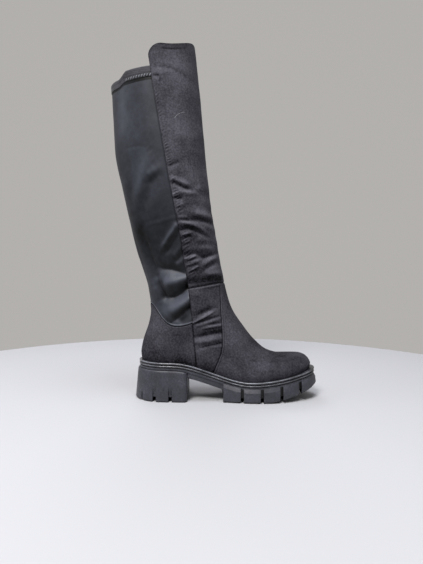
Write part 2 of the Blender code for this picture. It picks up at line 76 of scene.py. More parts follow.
# Sections of the upper, from the feather edge to the top
Section = namedtuple(
    "Section",
    "back_x back_z front_x front_z heel waist ball back_cap front_cap point dip swing",
)
SECTIONS = (
    Section(0.0010, 0.0575, 0.2600, 0.0442, 0.0335, 0.0335, 0.0452, 0.036, 0.068, 0.50, 1.00, 0.0095),
    Section(-0.0003, 0.0680, 0.2612, 0.0512, 0.0350, 0.0352, 0.0466, 0.036, 0.067, 0.50, 0.98, 0.0095),
    Section(0.0010, 0.0775, 0.2572, 0.0592, 0.0350, 0.0358, 0.0452, 0.037, 0.066, 0.50, 0.92, 0.0092),
    Section(0.0028, 0.0860, 0.2448, 0.0655, 0.0345, 0.0358, 0.0424, 0.038, 0.065, 0.50, 0.82, 0.0086),
    Section(0.0052, 0.0940, 0.2185, 0.0649, 0.0340, 0.0358, 0.0412, 0.040, 0.064, 0.50, 0.68, 0.0078),
    Section(0.0076, 0.1010, 0.1955, 0.0702, 0.0335, 0.0358, 0.0412, 0.042, 0.062, 0.50, 0.52, 0.0064),
    Section(0.0100, 0.1080, 0.1750, 0.0855, 0.0335, 0.0360, 0.0408, 0.044, 0.060, 0.50, 0.36, 0.0048),
    Section(0.0120, 0.1160, 0.1562, 0.1080, 0.0340, 0.0365, 0.0400, 0.048, 0.058, 0.50, 0.20, 0.0030),
    Section(0.0140, 0.1310, 0.1380, 0.1360, 0.0355, 0.0375, 0.0390, 0.055, 0.058, 0.50, 0.06, 0.0012),
    Section(0.0095, 0.1640, 0.1284, 0.1660, 0.0380, 0.0385, 0.0385, 0.060, 0.058, 0.53, 0.00, 0.0000),
    Section(-0.0098, 0.2240, 0.1166, 0.2240, 0.0430, 0.0435, 0.0435, 0.068, 0.057, 0.56, 0.00, 0.0000),
    Section(-0.0293, 0.3040, 0.1032, 0.3040, 0.0470, 0.0475, 0.0475, 0.072, 0.060, 0.58, 0.00, 0.0000),
    Section(-0.0440, 0.3720, 0.0955, 0.3720, 0.0500, 0.0500, 0.0500, 0.077, 0.062, 0.60, 0.00, 0.0000),
    Section(-0.0494, 0.4550, 0.0872, 0.4550, 0.0510, 0.0510, 0.0510, 0.076, 0.062, 0.62, 0.00, 0.0000),
    Section(-0.0560, 0.5420, 0.0770, 0.5420, 0.0510, 0.0510, 0.0510, 0.070, 0.059, 0.62, 0.00, 0.0000),
)
TOP_PLACE = len(SECTIONS) - 1
HEEL_PLACE, WAIST_PLACE, BALL_PLACE = 0.14, 0.42, 0.70
SWING_PLACE = 0.28
ROUND = 0.5
NOSE_RISE = 4
TURN_STEP = 0.004
PLACE_STEP = 0.01
HALVINGS = 30

# Seams of the upper in the side view, as height and place along the foot
Seam = namedtuple("Seam", "z x")
SIDE_SEAM = (
    Seam(0.100, 0.0810),
    Seam(0.166, 0.0726),
    Seam(0.247, 0.0597),
    Seam(0.325, 0.0440),
    Seam(0.420, 0.0270),
    Seam(0.486, 0.0152),
    Seam(0.560, 0.0024),
)
SIDE_SEAM_FOOT = Seam(0.055, 0.0852)
VAMP_SEAM = (
    Seam(0.040, 0.1105),
    Seam(0.050, 0.1140),
    Seam(0.061, 0.1185),
    Seam(0.071, 0.1222),
    Seam(0.084, 0.1240),
    Seam(0.105, 0.1236),
    Seam(0.134, 0.1214),
    Seam(0.180, 0.1196),
)
LAP_SEAM_X, LAP_SEAM_Z = 0.074, 0.1655
LAP_FRONT_X, LAP_FRONT_Z = 0.118, 0.1735

# Top edge of the heel quarter, high at the back and low at the ankle
QUARTER_EDGE = (
    Seam(0.1420, 0.0150),
    Seam(0.1385, 0.0195),
    Seam(0.1300, 0.0260),
    Seam(0.1190, 0.0350),
    Seam(0.1120, 0.0430),
    Seam(0.1095, 0.0510),
    Seam(0.1092, 0.0590),
    Seam(0.1108, 0.0680),
    Seam(0.1132, 0.0760),
    Seam(0.1160, 0.0820),
)
QUARTER_EASE = 0.003

# Flap of the front panel above the knee
FLAP_SIDE_TOP = 0.5202
FLAP_FRONT_TOP = 0.5365
FLAP_CORNER = 0.0190
FLAP_RISE_START, FLAP_RISE_END = 0.036, 0.0775
FLAP_CURVE = 2.0

# Collar band along the top of the stretch panel
RIM_BACK, RIM_SIDE, RIM_FRONT = 0.4742, 0.4838, 0.4870
RIM_STEP_START, RIM_STEP_END, RIM_END = -0.0350, -0.0205, 0.0140
BAND_BACK_HEIGHT, BAND_HEIGHT = 0.0125, 0.0165
BAND_STITCH_START = -0.0210

# Welt with its two beads
WELT_INSIDE = 0.0105
WELT_FACE = 0.0016
UPPER_BEAD = 0.00155
LOWER_BEAD = 0.00145
BEAD_GROOVE = 0.0011
BEAD_OUT = 0.0006
BEAD_STEPS = 12

# Sole plate, waist bar and lugs
PLATE_CORE_INSIDE = 0.0110
PLATE_OUT = 0.0028
PLATE_DEPTH = 0.0116
PLATE_EDGE = 0.0008
WAIST_TOP_DEPTH = 0.0095
WAIST_DEPTH = 0.0200
WAIST_OUT = 0.0006
WAIST_EDGE = 0.0025
LUG_START = 0.1256
LUG_TOP_DEPTH = 0.0098
LUG_TOP_OUT = 0.0030
LUG_SHOULDER_DEPTH = 0.0152
LUG_OUT = 0.0056
LUG_FOOT_OUT = 0.0066
LUG_CHAMFER = 0.0028
TREAD_SPRING_START = 0.195
TREAD_SPRING = 0.0210
TREAD_SPRING_LENGTH = 0.074
TREAD_CURVE = 1.4
LUG_LAP = 0.004
NOTCH_FIRST, NOTCH_PITCH, NOTCH_COUNT = 0.1529, 0.0289, 4
NOTCHES = tuple(NOTCH_FIRST + number * NOTCH_PITCH for number in range(NOTCH_COUNT))
NOTCH_WIDTH = 0.0048
TREAD_GROOVE = 0.0075
CENTRE_GROOVE_WIDTH = 0.0070
CENTRE_GROOVE_DEPTH = 0.0045
LUG_ROUND = 0.0007
LUG_ROUND_ANGLE = math.radians(38.0)

# Block heel
HEEL_FRONT = 0.0725
HEEL_TOP_OUT, HEEL_SHOULDER_OUT, HEEL_FOOT_OUT = 0.0040, 0.0054, 0.0086
HEEL_SHOULDER = 0.0018
HEEL_CHAMFER = 0.0016
HEEL_CORNER = 0.0055
HEEL_NOTCH_FIRST, HEEL_NOTCH_PITCH, HEEL_NOTCH_COUNT = 0.0244, 0.0234, 2
HEEL_NOTCHES = tuple(HEEL_NOTCH_FIRST + number * HEEL_NOTCH_PITCH for number in range(HEEL_NOTCH_COUNT))
HEEL_NOTCH_WIDTH = 0.0048
HEEL_NOTCH_DEPTH = 0.0024
HEEL_NOTCH_HEIGHT = 0.0230
HEEL_SIDE_FACING = 0.6
REAR_NOTCH_WIDTH = 0.0034
REAR_NOTCH_HEIGHT = 0.0150
REAR_NOTCH_TURN = 0.125
NOTCH_SOFT_OUTSIDE, NOTCH_SOFT_INSIDE = 0.0004, 0.0005
NOTCH_RUN_OUT = 0.002
NOTCH_FULL_SHARE = 0.45

# How finely the pieces are laid out, with the columns and rows of each panel's grid
FRONT_GRID, VAMP_GRID, SIDE_GRID = (136, 340), (230, 84), (64, 160)
QUARTER_GRID, STRETCH_GRID, BAND_GRID = (170, 64), (150, 280), (170, 36)
COLUMN_CROWDING = 0.78
ROW_CROWDING = 0.3
EDGE_COLUMNS = 288
CAP_STEPS = 4
MERGE_DISTANCE = 1e-6
WAIST_RINGS, WAIST_EDGE_STEPS = 18, 6
LUG_SIDE_STEPS, LUG_TOE_STEPS, LUG_ACROSS_STEPS = 22, 120, 14
LUG_SEARCH_STEPS = 2001
HEEL_STEPS, HEEL_ACROSS, HEEL_ROWS = 420, 80, 56
HEEL_SEARCH_STEPS = 4001
HEEL_CORNER_STEPS = 9
HEEL_ROW_SPAN = (0.03, 0.99)
SMOOTH_ANGLE = math.radians(48.0)
SOLE_ANGLE = math.radians(15.0)

# Where the middle of a rounded edge lies between its ends, and how far cuts reach past the sole
EDGE_ROUND = 0.3
PAST_FLOOR, PAST_SIDES = 0.01, 0.1

# Places in the table of sections between which a panel's edge is looked for
LAP_PLACES, TUCK_PLACES, QUARTER_PLACES = (6.0, 11.0), (8.0, 11.0), (1.0, 11.0)
RIM_PLACES, FLAP_PLACES = (10.0, TOP_PLACE), (12.0, TOP_PLACE)

# Folds of the side view in millimetres, along paths of places along the foot and heights
Fold = namedtuple("Fold", "out width soft start end path")
STRETCH_FOLDS = (
    Fold(-5.5, 42.0, 2.0, 1.0, 1.0, ((30, 224), (50, 210))),
    Fold(-4.4, 6.0, 1.4, 0.3, 1.0, ((17, 200), (31, 194), (46, 193), (67, 187))),
    Fold(5.4, 9.5, 2.0, 0.2, 1.0, ((33, 177), (43, 174), (56, 176), (70, 182))),
    Fold(-7.4, 8.5, 1.4, 0.7, 1.0, ((36, 152), (50, 152), (62, 158), (73, 167))),
    Fold(-2.6, 3.4, 1.6, 0.5, 0.7, ((25, 180), (30, 166), (36, 151))),
    Fold(1.2, 4.6, 1.9, 0.3, 0.5, ((19, 170), (30, 146))),
    Fold(3.6, 8.5, 2.0, 0.5, 1.0, ((42, 127), (56, 137), (75, 151))),
    Fold(-3.6, 5.0, 1.6, 0.4, 1.0, ((48, 115), (61, 126), (76, 138))),
    Fold(-2.2, 6.5, 2.0, 0.4, 1.0, ((57, 113), (67, 121), (78, 131))),
    Fold(-2.4, 5.0, 1.6, 0.2, 1.0, ((1, 250), (12, 213), (18, 197), (22, 184))),
    Fold(3.0, 4.8, 1.8, 0.8, 0.2, ((55, 256), (37, 230), (30, 219))),
    Fold(-2.4, 5.0, 1.8, 0.8, 0.2, ((58, 248), (43, 225), (34, 213))),
    Fold(1.7, 5.0, 1.9, 0.8, 0.2, ((63, 227), (49, 208))),
    Fold(-1.3, 4.8, 1.8, 0.8, 0.2, ((65, 220), (51, 202))),
    Fold(1.2, 4.4, 1.9, 0.8, 0.2, ((65, 207), (52, 196))),
    Fold(0.5, 1.6, 1.6, 0.3, 1.0, ((2, 248), (8, 256), (16, 260), (31, 263), (56, 270))),
    Fold(1.3, 8.0, 2.0, 0.2, 0.6, ((13, 363), (1, 317), (-10, 283))),
    Fold(-1.3, 9.0, 2.0, 0.2, 0.6, ((24, 330), (12, 305), (5, 280))),
    Fold(1.0, 6.5, 2.0, 0.2, 0.6, ((11, 328), (28, 339))),
    Fold(-0.9, 6.5, 2.0, 0.2, 0.6, ((11, 318), (28, 329))),
    Fold(-0.2, 2.4, 1.6, 0.2, 0.2, ((-25, 371), (-2, 373), (9, 371))),
    Fold(-0.4, 7.0, 2.0, 0.5, 0.5, ((13, 369), (18, 363))),
)
FRONT_FOLDS = (
    Fold(-4.2, 36.0, 2.0, 1.0, 1.0, ((75, 235), (88, 200))),
    Fold(-0.9, 3.6, 1.7, 1.0, 0.2, ((46, 343), (60, 350))),
    Fold(1.6, 4.0, 1.9, 1.0, 0.2, ((50, 324), (75, 314))),
    Fold(-2.0, 3.4, 1.6, 1.0, 0.2, ((52, 319), (76, 308))),
    Fold(1.4, 4.2, 1.9, 1.0, 0.4, ((52, 301), (61, 306), (85, 305))),
    Fold(-1.4, 3.0, 1.6, 1.0, 0.2, ((54, 297), (64, 296))),
    Fold(0.8, 3.2, 1.8, 1.0, 0.2, ((57, 286), (68, 289))),
    Fold(1.0, 4.4, 2.0, 0.4, 0.4, ((83, 309), (89, 316))),
    Fold(1.0, 2.8, 1.8, 1.0, 0.2, ((60, 269), (74, 270))),
    Fold(-1.1, 2.8, 1.6, 1.0, 0.2, ((62, 266), (76, 265))),
    Fold(1.4, 5.0, 2.0, 0.3, 0.6, ((79, 276), (103, 272))),
    Fold(-1.7, 4.2, 1.7, 0.3, 0.6, ((73, 266), (88, 267), (106, 263))),
    Fold(1.9, 3.6, 1.8, 0.7, 0.3, ((62, 262), (78, 259), (87, 256), (103, 246))),
    Fold(-2.0, 3.6, 1.7, 0.8, 0.3, ((60, 251), (74, 254), (85, 251), (100, 243))),
    Fold(1.2, 2.0, 1.7, 0.7, 0.1, ((65, 244), (79, 248))),
    Fold(-0.9, 1.9, 1.7, 0.7, 0.1, ((65, 240), (80, 243))),
    Fold(0.9, 2.2, 1.7, 0.7, 0.1, ((65, 233), (77, 236))),
    Fold(0.9, 4.4, 2.0, 0.3, 0.3, ((84, 236), (96, 237))),
    Fold(1.0, 4.6, 2.0, 0.3, 0.6, ((88, 226), (108, 225))),
    Fold(-2.0, 4.0, 1.7, 0.7, 0.5, ((69, 215), (85, 218), (97, 211), (117, 218))),
    Fold(1.3, 1.9, 1.7, 0.9, 0.1, ((69, 209), (76, 210), (87, 215))),
    Fold(-0.6, 1.9, 1.7, 0.6, 0.1, ((74, 206), (90, 211))),
    Fold(0.8, 3.0, 1.9, 0.2, 0.2, ((75, 200), (84, 205), (92, 207))),
    Fold(0.5, 1.5, 1.7, 0.8, 0.2, ((71, 200), (76, 201))),
    Fold(-0.6, 2.0, 1.7, 0.8, 0.1, ((72, 196), (88, 202))),
    Fold(1.0, 1.7, 1.7, 0.3, 0.1, ((74, 191), (81, 194), (91, 200))),
    Fold(1.1, 4.4, 1.9, 0.3, 0.6, ((91, 196), (103, 205), (116, 215))),
    Fold(-1.3, 4.0, 1.8, 0.3, 0.5, ((97, 193), (114, 204))),
    Fold(1.1, 4.2, 1.9, 0.3, 0.6, ((97, 186), (117, 188))),
    Fold(-2.6, 6.5, 1.8, 0.9, 0.8, ((70, 173), (90, 175), (107, 177), (124, 178))),
    Fold(-1.2, 5.0, 1.8, 1.0, 0.8, ((70, 165), (95, 169), (124, 174))),
    Fold(-0.5, 2.4, 1.9, 0.8, 0.1, ((22, 472), (28, 471), (31, 467), (28, 461))),
    Fold(-0.5, 3.8, 1.9, 0.5, 0.2, ((23, 485), (32, 485), (46, 484), (60, 479), (70, 471), (74, 464))),
)
SIDE_FOLDS = (
    Fold(0.9, 7.0, 2.0, 1.0, 0.3, ((77, 159), (92, 158))),
    Fold(-1.6, 4.2, 1.8, 0.3, 0.5, ((84, 125), (100, 133), (111, 137))),
    Fold(1.5, 1.7, 1.6, 0.7, 0.2, ((80, 115), (91, 121), (102, 127), (113, 134))),
    Fold(-1.1, 2.0, 1.7, 0.6, 0.5, ((85, 114), (102, 120), (118, 125))),
    Fold(0.4, 3.0, 1.9, 0.5, 0.5, ((86, 111), (107, 117), (119, 121))),
    Fold(-0.8, 1.7, 1.7, 0.2, 0.8, ((99, 113), (120, 115))),
    Fold(1.0, 1.9, 1.7, 0.2, 0.7, ((91, 106), (102, 109), (121, 112))),
    Fold(-1.6, 3.8, 1.8, 0.5, 0.8, ((84, 94), (102, 98), (122, 102))),
    Fold(0.8, 3.6, 2.0, 0.7, 0.7, ((82, 86), (102, 89), (121, 93))),
    Fold(-0.7, 2.4, 1.8, 0.2, 0.9, ((88, 78), (102, 81), (122, 86))),
)

# Patches of painted shade on a panel, or of painted gleam if dark is below 0
Patch = namedtuple("Patch", "dark x z length height")
FRONT_PATCHES = (
    Patch(0.8, 0.0250, 0.4735, 0.0040, 0.0016),
    Patch(0.7, 0.0305, 0.4660, 0.0017, 0.0045),
    Patch(0.4, 0.0270, 0.4600, 0.0030, 0.0016),
)
STRETCH_PATCHES = (
    Patch(-0.55, -0.029, 0.430, 0.009, 0.034),
    Patch(-0.3, 0.010, 0.455, 0.006, 0.010),
    Patch(0.8, 0.070, 0.121, 0.012, 0.010),
    Patch(0.6, -0.018, 0.302, 0.009, 0.028),
    Patch(0.45, -0.004, 0.252, 0.010, 0.024),
)

# How folds fade at their ends and where a panel turns away, and how the inner side's are shifted
FOLD_FADE = 0.3
FACING_LOW, FACING_HIGH = 0.03, 0.4
INNER_SHIFT_X, INNER_SHIFT_Z = 0.003, 0.007
INNER_SHARE = 0.8

# Slack of the panels, and the waves that it follows as radians a metre along x, y and z
Wave = namedtuple("Wave", "x y z start")
SLOW_WAVES = (Wave(41.0, 0.0, 62.0, 0.7), Wave(-53.0, 37.0, 29.0, 0.0))
QUICK_WAVES = (Wave(0.0, 83.0, 131.0, 0.0), Wave(117.0, 0.0, -47.0, 1.9))
QUICK_SHARE = 0.4
FRONT_SLACK, VAMP_SLACK, SIDE_SLACK = 0.0003, 0.0001, 0.0002
QUARTER_SLACK, STRETCH_SLACK = 0.00015, 0.00025

# Puckers along the front panel's seams, which are wider and lie further in below the calf
Sway = namedtuple("Sway", "size length start")
Pucker = namedtuple("Pucker", "z depth")
PUCKER_PITCH, PUCKER_SLANT = 0.0043, 0.3
PUCKER_CENTRE, PUCKER_CENTRE_LOW = 0.0066, 0.0082
PUCKER_REACH, PUCKER_REACH_LOW = 0.0034, 0.0056
PUCKER_LOW = (0.37, 0.30)
PUCKER_WANDER = (Sway(2.4, 0.019, 0.0), Sway(1.7, 0.0083, 1.0), Sway(1.1, 0.0046, 2.0))
PUCKER_SHARE = 0.55
PUCKER_SWAYS = (Sway(0.3, 0.0113, 2.0), Sway(0.25, 0.0037, 0.0))
PUCKERS = (
    Pucker(0.170, 0.0001),
    Pucker(0.190, 0.0009),
    Pucker(0.300, 0.0009),
    Pucker(0.350, 0.00075),
    Pucker(0.450, 0.00055),
    Pucker(0.475, 0.0),
)

# Small dents between the folds of the front panel, where rising and falling waves cross
CRUMPLE_DEPTH = 0.00035
CRUMPLE_TOP, CRUMPLE_FOOT = (0.350, 0.290), (0.172, 0.190)
RISE_SLANT, RISE_LENGTH, RISE_SWAY = 0.5, 0.0052, (Sway(1.8, 0.017, 0.0),)
FALL_SLANT, FALL_LENGTH, FALL_SWAY = 0.8, 0.0088, (Sway(1.3, 0.021, 0.0),)

# Edges that turn in to a seam, by the depth of the turn and its reach
Roll = namedtuple("Roll", "depth reach")
SEAM_ROLL = Roll(0.0013, 0.0012)
FLAP_ROLL = Roll(0.0006, 0.0009)
VAMP_ROLL = Roll(0.0009, 0.0007)
LAP_ROLL = Roll(0.0009, 0.0006)
QUARTER_ROLL = Roll(0.0006, 0.0006)
STRETCH_SEAM_ROLL = Roll(0.0005, 0.0015)
STRETCH_LOW_ROLL = Roll(0.0008, 0.0008)
RIM_ROLL = Roll(0.0008, 0.0009)
BAND_ROLL = Roll(0.0006, 0.0006)

# Steps near an edge, by their height and the distances from the edge where they start and are full
Step = namedtuple("Step", "out start full")
VAMP_STEP = Step(0.0004, 0.006, 0.0015)
LAP_STEP = Step(0.0009, 0.0045, 0.0015)
LAP_UNDER = 0.006
LAP_TUCK = Step(-0.0018, LAP_UNDER + 0.004, LAP_UNDER - 0.001)
QUARTER_STEP = Step(0.0004, 0.004, 0.001)

# Lines beside an edge that lift a panel, or paint shade on it or a gleam if the amount is below 0, by their
# distance from the edge and their width
Line = namedtuple("Line", "amount away width")
PIPING_RIDGE = Line(0.0007, 0.0020, 0.0010)
PIPING_GLEAM = Line(-0.5, 0.0022, 0.0011)
PIPING_SHADE = Line(1.0, 0.0, 0.0010)
BAND_GROOVE = Line(-0.00035, 0.0062, 0.0006)
BAND_SEAM_SHADE = Line(1.4, 0.0030, 0.0026)
BAND_FOOT_SHADE = Line(0.8, 0.0, 0.0012)
FLAP_SHADE = Line(0.5, 0.0, 0.0045)
FLAP_SEAM_SHADE = Line(0.5, 0.0, 0.0040)
VAMP_LAP_GLEAM = Line(-0.5, 0.0010, 0.0011)
VAMP_SEAM_SHADE = Line(0.6, 0.0024, 0.0007)
SIDE_LAP_GLEAM = Line(-0.6, 0.0010, 0.0011)
SIDE_LAP_SHADE = Line(0.4, 0.0036, 0.0012)

# Hem of the flap, and where it starts and ends along the foot
HEM_FROM_TOP, HEM_DEPTH, HEM_WIDTH = 0.0078, 0.0005, 0.0014
HEM_START, HEM_END = (0.020, 0.042), (0.074, 0.050)
HEM_SHADE = 0.4

# Painted shade and gleam of the panels, and the heights, places and ways of facing between which it comes
# in
FLAP_SEAM_START = (0.478, 0.492)
INSTEP_SHADE, INSTEP_FACING, INSTEP_HEIGHT = 0.4, (0.85, 0.45), (0.066, 0.090)
TOE_SHADE, TOE_FACING = 0.45, (0.45, 0.85)
SIDE_SHADE, QUARTER_SHADE = 0.25, 0.35
SIDE_GLEAM_START, SIDE_SHADE_START = (0.078, 0.098), (0.082, 0.096)
BAND_SHADE, BAND_SHADE_REACH = 1.5, (0.0034, 0.0016)
OVERLOCK_SHADE, OVERLOCK_SHADE_MORE = 3.0, 0.0006
OVERLOCK_SHADE_START = (BAND_STITCH_START - 0.004, BAND_STITCH_START)
BAND_SEAM_START = (BAND_STITCH_START - 0.006, 0.0)

# Wear and painted light of the cloth: crests paler, partly rubbed and partly painted light, painted light
# where it faces up and painted shade where it lies deep and near the sole
WEAR_AND_SHADE_DEPTH = 0.0060
WEAR_AND_SHADE_DETAIL = 4.0
PAINTED_LIGHT_TILT = 2.6
SOLE_SHADE_SHARE, SOLE_SHADE_REACH = 0.6, 0.010

# Painted light of the rubber: painted highlights where it faces up, painted shade under the beads, at the
# toe tip, at the floor and in the slots
BEAD_FACING, BEAD_SPREAD = 0.62, 0.3
LOWER_BEAD_SHARE = 0.55
BEAD_UNDER_SHADE, BEAD_UNDER_FACING = 0.8, (-0.2, -0.7)
TOE_TIP_SHADE, TOE_TIP = 0.5, (0.250, 0.266)
SHOULDER_HIGHLIGHT, SHOULDER_FACING = 0.2, (0.25, 0.45)
TREAD_SHADE, TREAD_SHADE_HEIGHT = 0.9, (0.0030, 0.0008)
SLOT_FACING, SLOT_TOP, SLOT_LAST = (0.75, 0.95), (0.030, 0.020), (0.25, 0.245)
SLOT_SHADE = -1.2
HEEL_EDGE_HIGHLIGHT, HEEL_HIGHLIGHT_FACING = 0.15, (0.25, 0.5)
HEEL_SHADE, HEEL_SHADE_HEIGHT = 0.9, (0.0022, 0.0006)

# Stitches along, across and out of the wall, their spacing, and the parts of a seam that they fill
SEAM_STITCH, SEAM_STITCH_PITCH = (0.0026, 0.0006, 0.0005), 0.0034
VAMP_STITCH_INSET, LAP_STITCH_INSET, QUARTER_STITCH_INSET = 0.0022, 0.0024, 0.0020
STITCH_SPAN, SIDE_STITCH_SPAN = (0.02, 0.98), (0.03, 0.97)
OVERLOCK_STITCH, OVERLOCK_PITCH = (0.0052, 0.0021, 0.0024), 0.0042
OVERLOCK_INSET, OVERLOCK_SLANT = 0.0032, 1.0

# The shaft's middle along the foot, and how near the middle plane stitches face along the foot
SHAFT_MIDDLE = 0.045
NEAR_MIDDLE = 0.012

# Runs of the overlock between places along the foot, sunk deeper into the band towards the back
OverlockRun = namedtuple("OverlockRun", "start end lift")
OVERLOCK_RUNS = (
    OverlockRun(BAND_STITCH_START, -0.014, -0.0007),
    OverlockRun(-0.014, -0.005, -0.0004),
    OverlockRun(-0.005, 0.030, 0.0),
)

# Pale fibre on the front panel, as places along the foot and heights in millimetres
LINT_PATH = ((52, 413), (53, 415), (55, 417.5), (58, 420), (61, 421.5), (65, 423))
LINT_BLEND = 0.0012
LINT_BEAD, LINT_PITCH = (0.0016, 0.0004, 0.0004), 0.0009
LINT_SPAN = (0.0, 1.0)
LINT_LIFT = 0.0002


def smooth_step(low, high, value):
    """0 at low, 1 at high and smooth between them."""
    share = np.clip((value - low) / (high - low), 0.0, 1.0)
    return share * share * (3.0 - 2.0 * share)


def mix(first, second, share):
    return first + (second - first) * share


def slopes(values):
    """Slopes for a curve that passes through the values with no overshoot."""
    steps = np.diff(values)
    before, after = steps[:-1], steps[1:]
    same_way = before * after > 0.0
    inner = np.where(same_way, 2.0 * before * after / np.where(same_way, before + after, 1.0), 0.0)
    return np.concatenate([steps[:1], inner, steps[-1:]])


SECTION_ROWS = np.array(SECTIONS)
SECTION_SLOPES = np.stack([slopes(column) for column in SECTION_ROWS.T], axis=1)


def sections_at(place):
    """The sections at places in the table, blended smoothly between its rows."""
    row = np.minimum(place.astype(int), TOP_PLACE - 1)
    share = (place - row)[..., None]
    start, end = SECTION_ROWS[row], SECTION_ROWS[row + 1]
    lift = SECTION_SLOPES[row] * (1.0 - share) - SECTION_SLOPES[row + 1] * share
    blended = mix(start, end, share * share * (3.0 - 2.0 * share)) + share * (1.0 - share) * lift
    return Section(*np.moveaxis(blended, -1, 0))


def feather_z(x):
    """Height of the feather edge: heel seat, arch, ball and toe spring."""
    seat = HEEL_SEAT - HEEL_SEAT_FALL * np.clip(x / ARCH_START, 0.0, 1.0)
    fall = (HEEL_SEAT - HEEL_SEAT_FALL - BALL_SEAT) * smooth_step(ARCH_START, ARCH_END, x)
    spring = np.maximum(x - SPRING_START, 0.0) / (FEATHER_LENGTH - SPRING_START)
    return seat - fall + TOE_RISE * spring**TOE_CURVE


def feather_drop(x):
    """How far the feather edge lies below the straight line from heel to toe tip."""
    first = SECTIONS[0]
    share = (x - first.back_x) / (first.front_x - first.back_x)
    return feather_z(x) - mix(first.back_z, first.front_z, share)


def rounded_end(distance, length, point):
    reach = np.clip(distance / length, 0.0, 1.0)
    return (1.0 - (1.0 - reach) ** 2) ** point


def upper_points(place, turn):
    """Points on the outside of the upper.

    place counts the sections from the feather edge. turn is 0 at the back, runs over the outer side to
    1 at the front, and over the inner side to 2 at the back again.
    """
    place, turn = np.broadcast_arrays(np.asarray(place, float), np.asarray(turn, float))
    section = sections_at(place)
    along = (1.0 - np.cos(math.pi * turn)) / 2.0
    side = np.where(turn % 2.0 < 1.0, -1.0, 1.0)
    length = section.front_x - section.back_x
    x = section.back_x + along * length
    width = mix(section.heel, section.waist, smooth_step(HEEL_PLACE, WAIST_PLACE, along))
    width = width + (section.ball - section.waist) * smooth_step(WAIST_PLACE, BALL_PLACE, along)
    width = width * rounded_end(along * length, section.back_cap, section.point)
    width = width * rounded_end((1.0 - along) * length, section.front_cap, ROUND)
    centre = section.swing * smooth_step(SWING_PLACE, 1.0, along)
    centre = centre - WAIST_LEAN * section.dip * np.sin(math.pi * along) ** 2
    z = mix(section.back_z, section.front_z, along)
    z = z + section.dip * (feather_drop(x) - feather_drop(section.front_x) * along**NOSE_RISE)
    return np.stack([x, centre + side * width, z], axis=-1)


def ways_out(place, turn):
    """Directions straight out of the upper's surface."""
    along = upper_points(place, turn + TURN_STEP) - upper_points(place, turn - TURN_STEP)
    higher = upper_points(np.minimum(place + PLACE_STEP, TOP_PLACE), turn)
    lower = upper_points(np.maximum(place - PLACE_STEP, 0.0), turn)
    out = np.cross(along, higher - lower)
    return out / np.linalg.norm(out, axis=-1, keepdims=True)


def turn_for(place, seam):
    """How far round the outer side a seam lies, from its rows of height and place along the foot."""
    section = sections_at(place)
    heights, places = np.array(seam).T
    turn = np.full(place.shape, 0.5)
    for _ in range(HALVINGS):
        x = np.interp(upper_points(place, turn)[..., 2], heights, places)
        along = np.clip((x - section.back_x) / (section.front_x - section.back_x), 0.0, 1.0)
        turn = np.arccos(1.0 - 2.0 * along) / math.pi
    return turn


def side_seam_turn(place):
    return turn_for(place, (SIDE_SEAM_FOOT,) + SIDE_SEAM)


def vamp_seam_turn(place):
    return turn_for(place, VAMP_SEAM)


def place_at_height(share, turn_at, height_at, low, high):
    """The place in the table where each column of a panel reaches an edge drawn in the side view."""
    low, high = np.full(share.shape, float(low)), np.full(share.shape, float(high))
    for _ in range(HALVINGS):
        middle = (low + high) / 2.0
        points = upper_points(middle, turn_at(share, middle))
        below = points[..., 2] < height_at(points[..., 0])
        low, high = np.where(below, middle, low), np.where(below, high, middle)
    return low


def quarter_top(x):
    """Height of the top edge of the heel quarter at a place along the foot."""
    heights, places = np.array(QUARTER_EDGE).T
    eased = [np.interp(x + shift, places, heights) for shift in (-QUARTER_EASE, 0.0, QUARTER_EASE)]
    return (eased[0] + eased[1] + eased[2]) / 3.0


def lap_top(x):
    """Height of the edge where vamp and side pieces lie over the front panel."""
    return np.interp(x, (LAP_SEAM_X, LAP_FRONT_X), (LAP_SEAM_Z, LAP_FRONT_Z))


def flap_top(x):
    """Height of the flap's edge, from its rounded rear corner to the front."""
    corner_z = FLAP_SIDE_TOP - FLAP_CORNER
    heights, places = np.array(SIDE_SEAM).T
    centre_x = np.interp(corner_z, heights, places) + FLAP_CORNER
    away = np.clip((centre_x - x) / FLAP_CORNER, 0.0, 1.0)
    share = np.clip((x - FLAP_RISE_START) / (FLAP_RISE_END - FLAP_RISE_START), 0.0, 1.0)
    rise = (FLAP_FRONT_TOP - FLAP_SIDE_TOP) * share**FLAP_CURVE
    return corner_z + FLAP_CORNER * np.sqrt(1.0 - away**2) + rise


def rim_z(x):
    """Height of the collar's rim at a place along the foot."""
    side = np.interp(x, (RIM_STEP_END, RIM_END), (RIM_SIDE, RIM_FRONT))
    return mix(RIM_BACK, side, smooth_step(RIM_STEP_START, RIM_STEP_END, x))


def band_low(x):
    return rim_z(x) - mix(BAND_BACK_HEIGHT, BAND_HEIGHT, smooth_step(RIM_STEP_START, RIM_STEP_END, x))


def to_origin(points):
    return np.asarray(points) - np.array([HEEL_TO_ORIGIN, CENTRE_TO_ORIGIN, 0.0])


def crowded(count, crowding):
    """Steps from 0 to 1 that lie closer together near both ends."""
    share = np.linspace(0.0, 1.0, count)
    return share - crowding * np.sin(2.0 * math.pi * share) / (2.0 * math.pi)


def run_along(points, axis):
    """How far each point of a line or grid lies along its line, row or column."""
    steps = np.linalg.norm(np.diff(points, axis=axis), axis=-1)
    first = np.zeros_like(np.take(steps, [0], axis=axis))
    return np.concatenate([first, np.cumsum(steps, axis=axis)], axis=axis)


def points_along(line, lengths, stops):
    """Points of a line at distances along it."""
    return np.stack([np.interp(stops, lengths, part) for part in line.T], axis=-1)


def even_steps(line, count):
    """A line again, as points at even distances."""
    lengths = run_along(line, 0)
    return points_along(line, lengths, np.linspace(0.0, lengths[-1], count))


# A panel while it is laid out: its points, the ways out of them and the distances to its four edges
Sheet = namedtuple("Sheet", "points out first last low high")


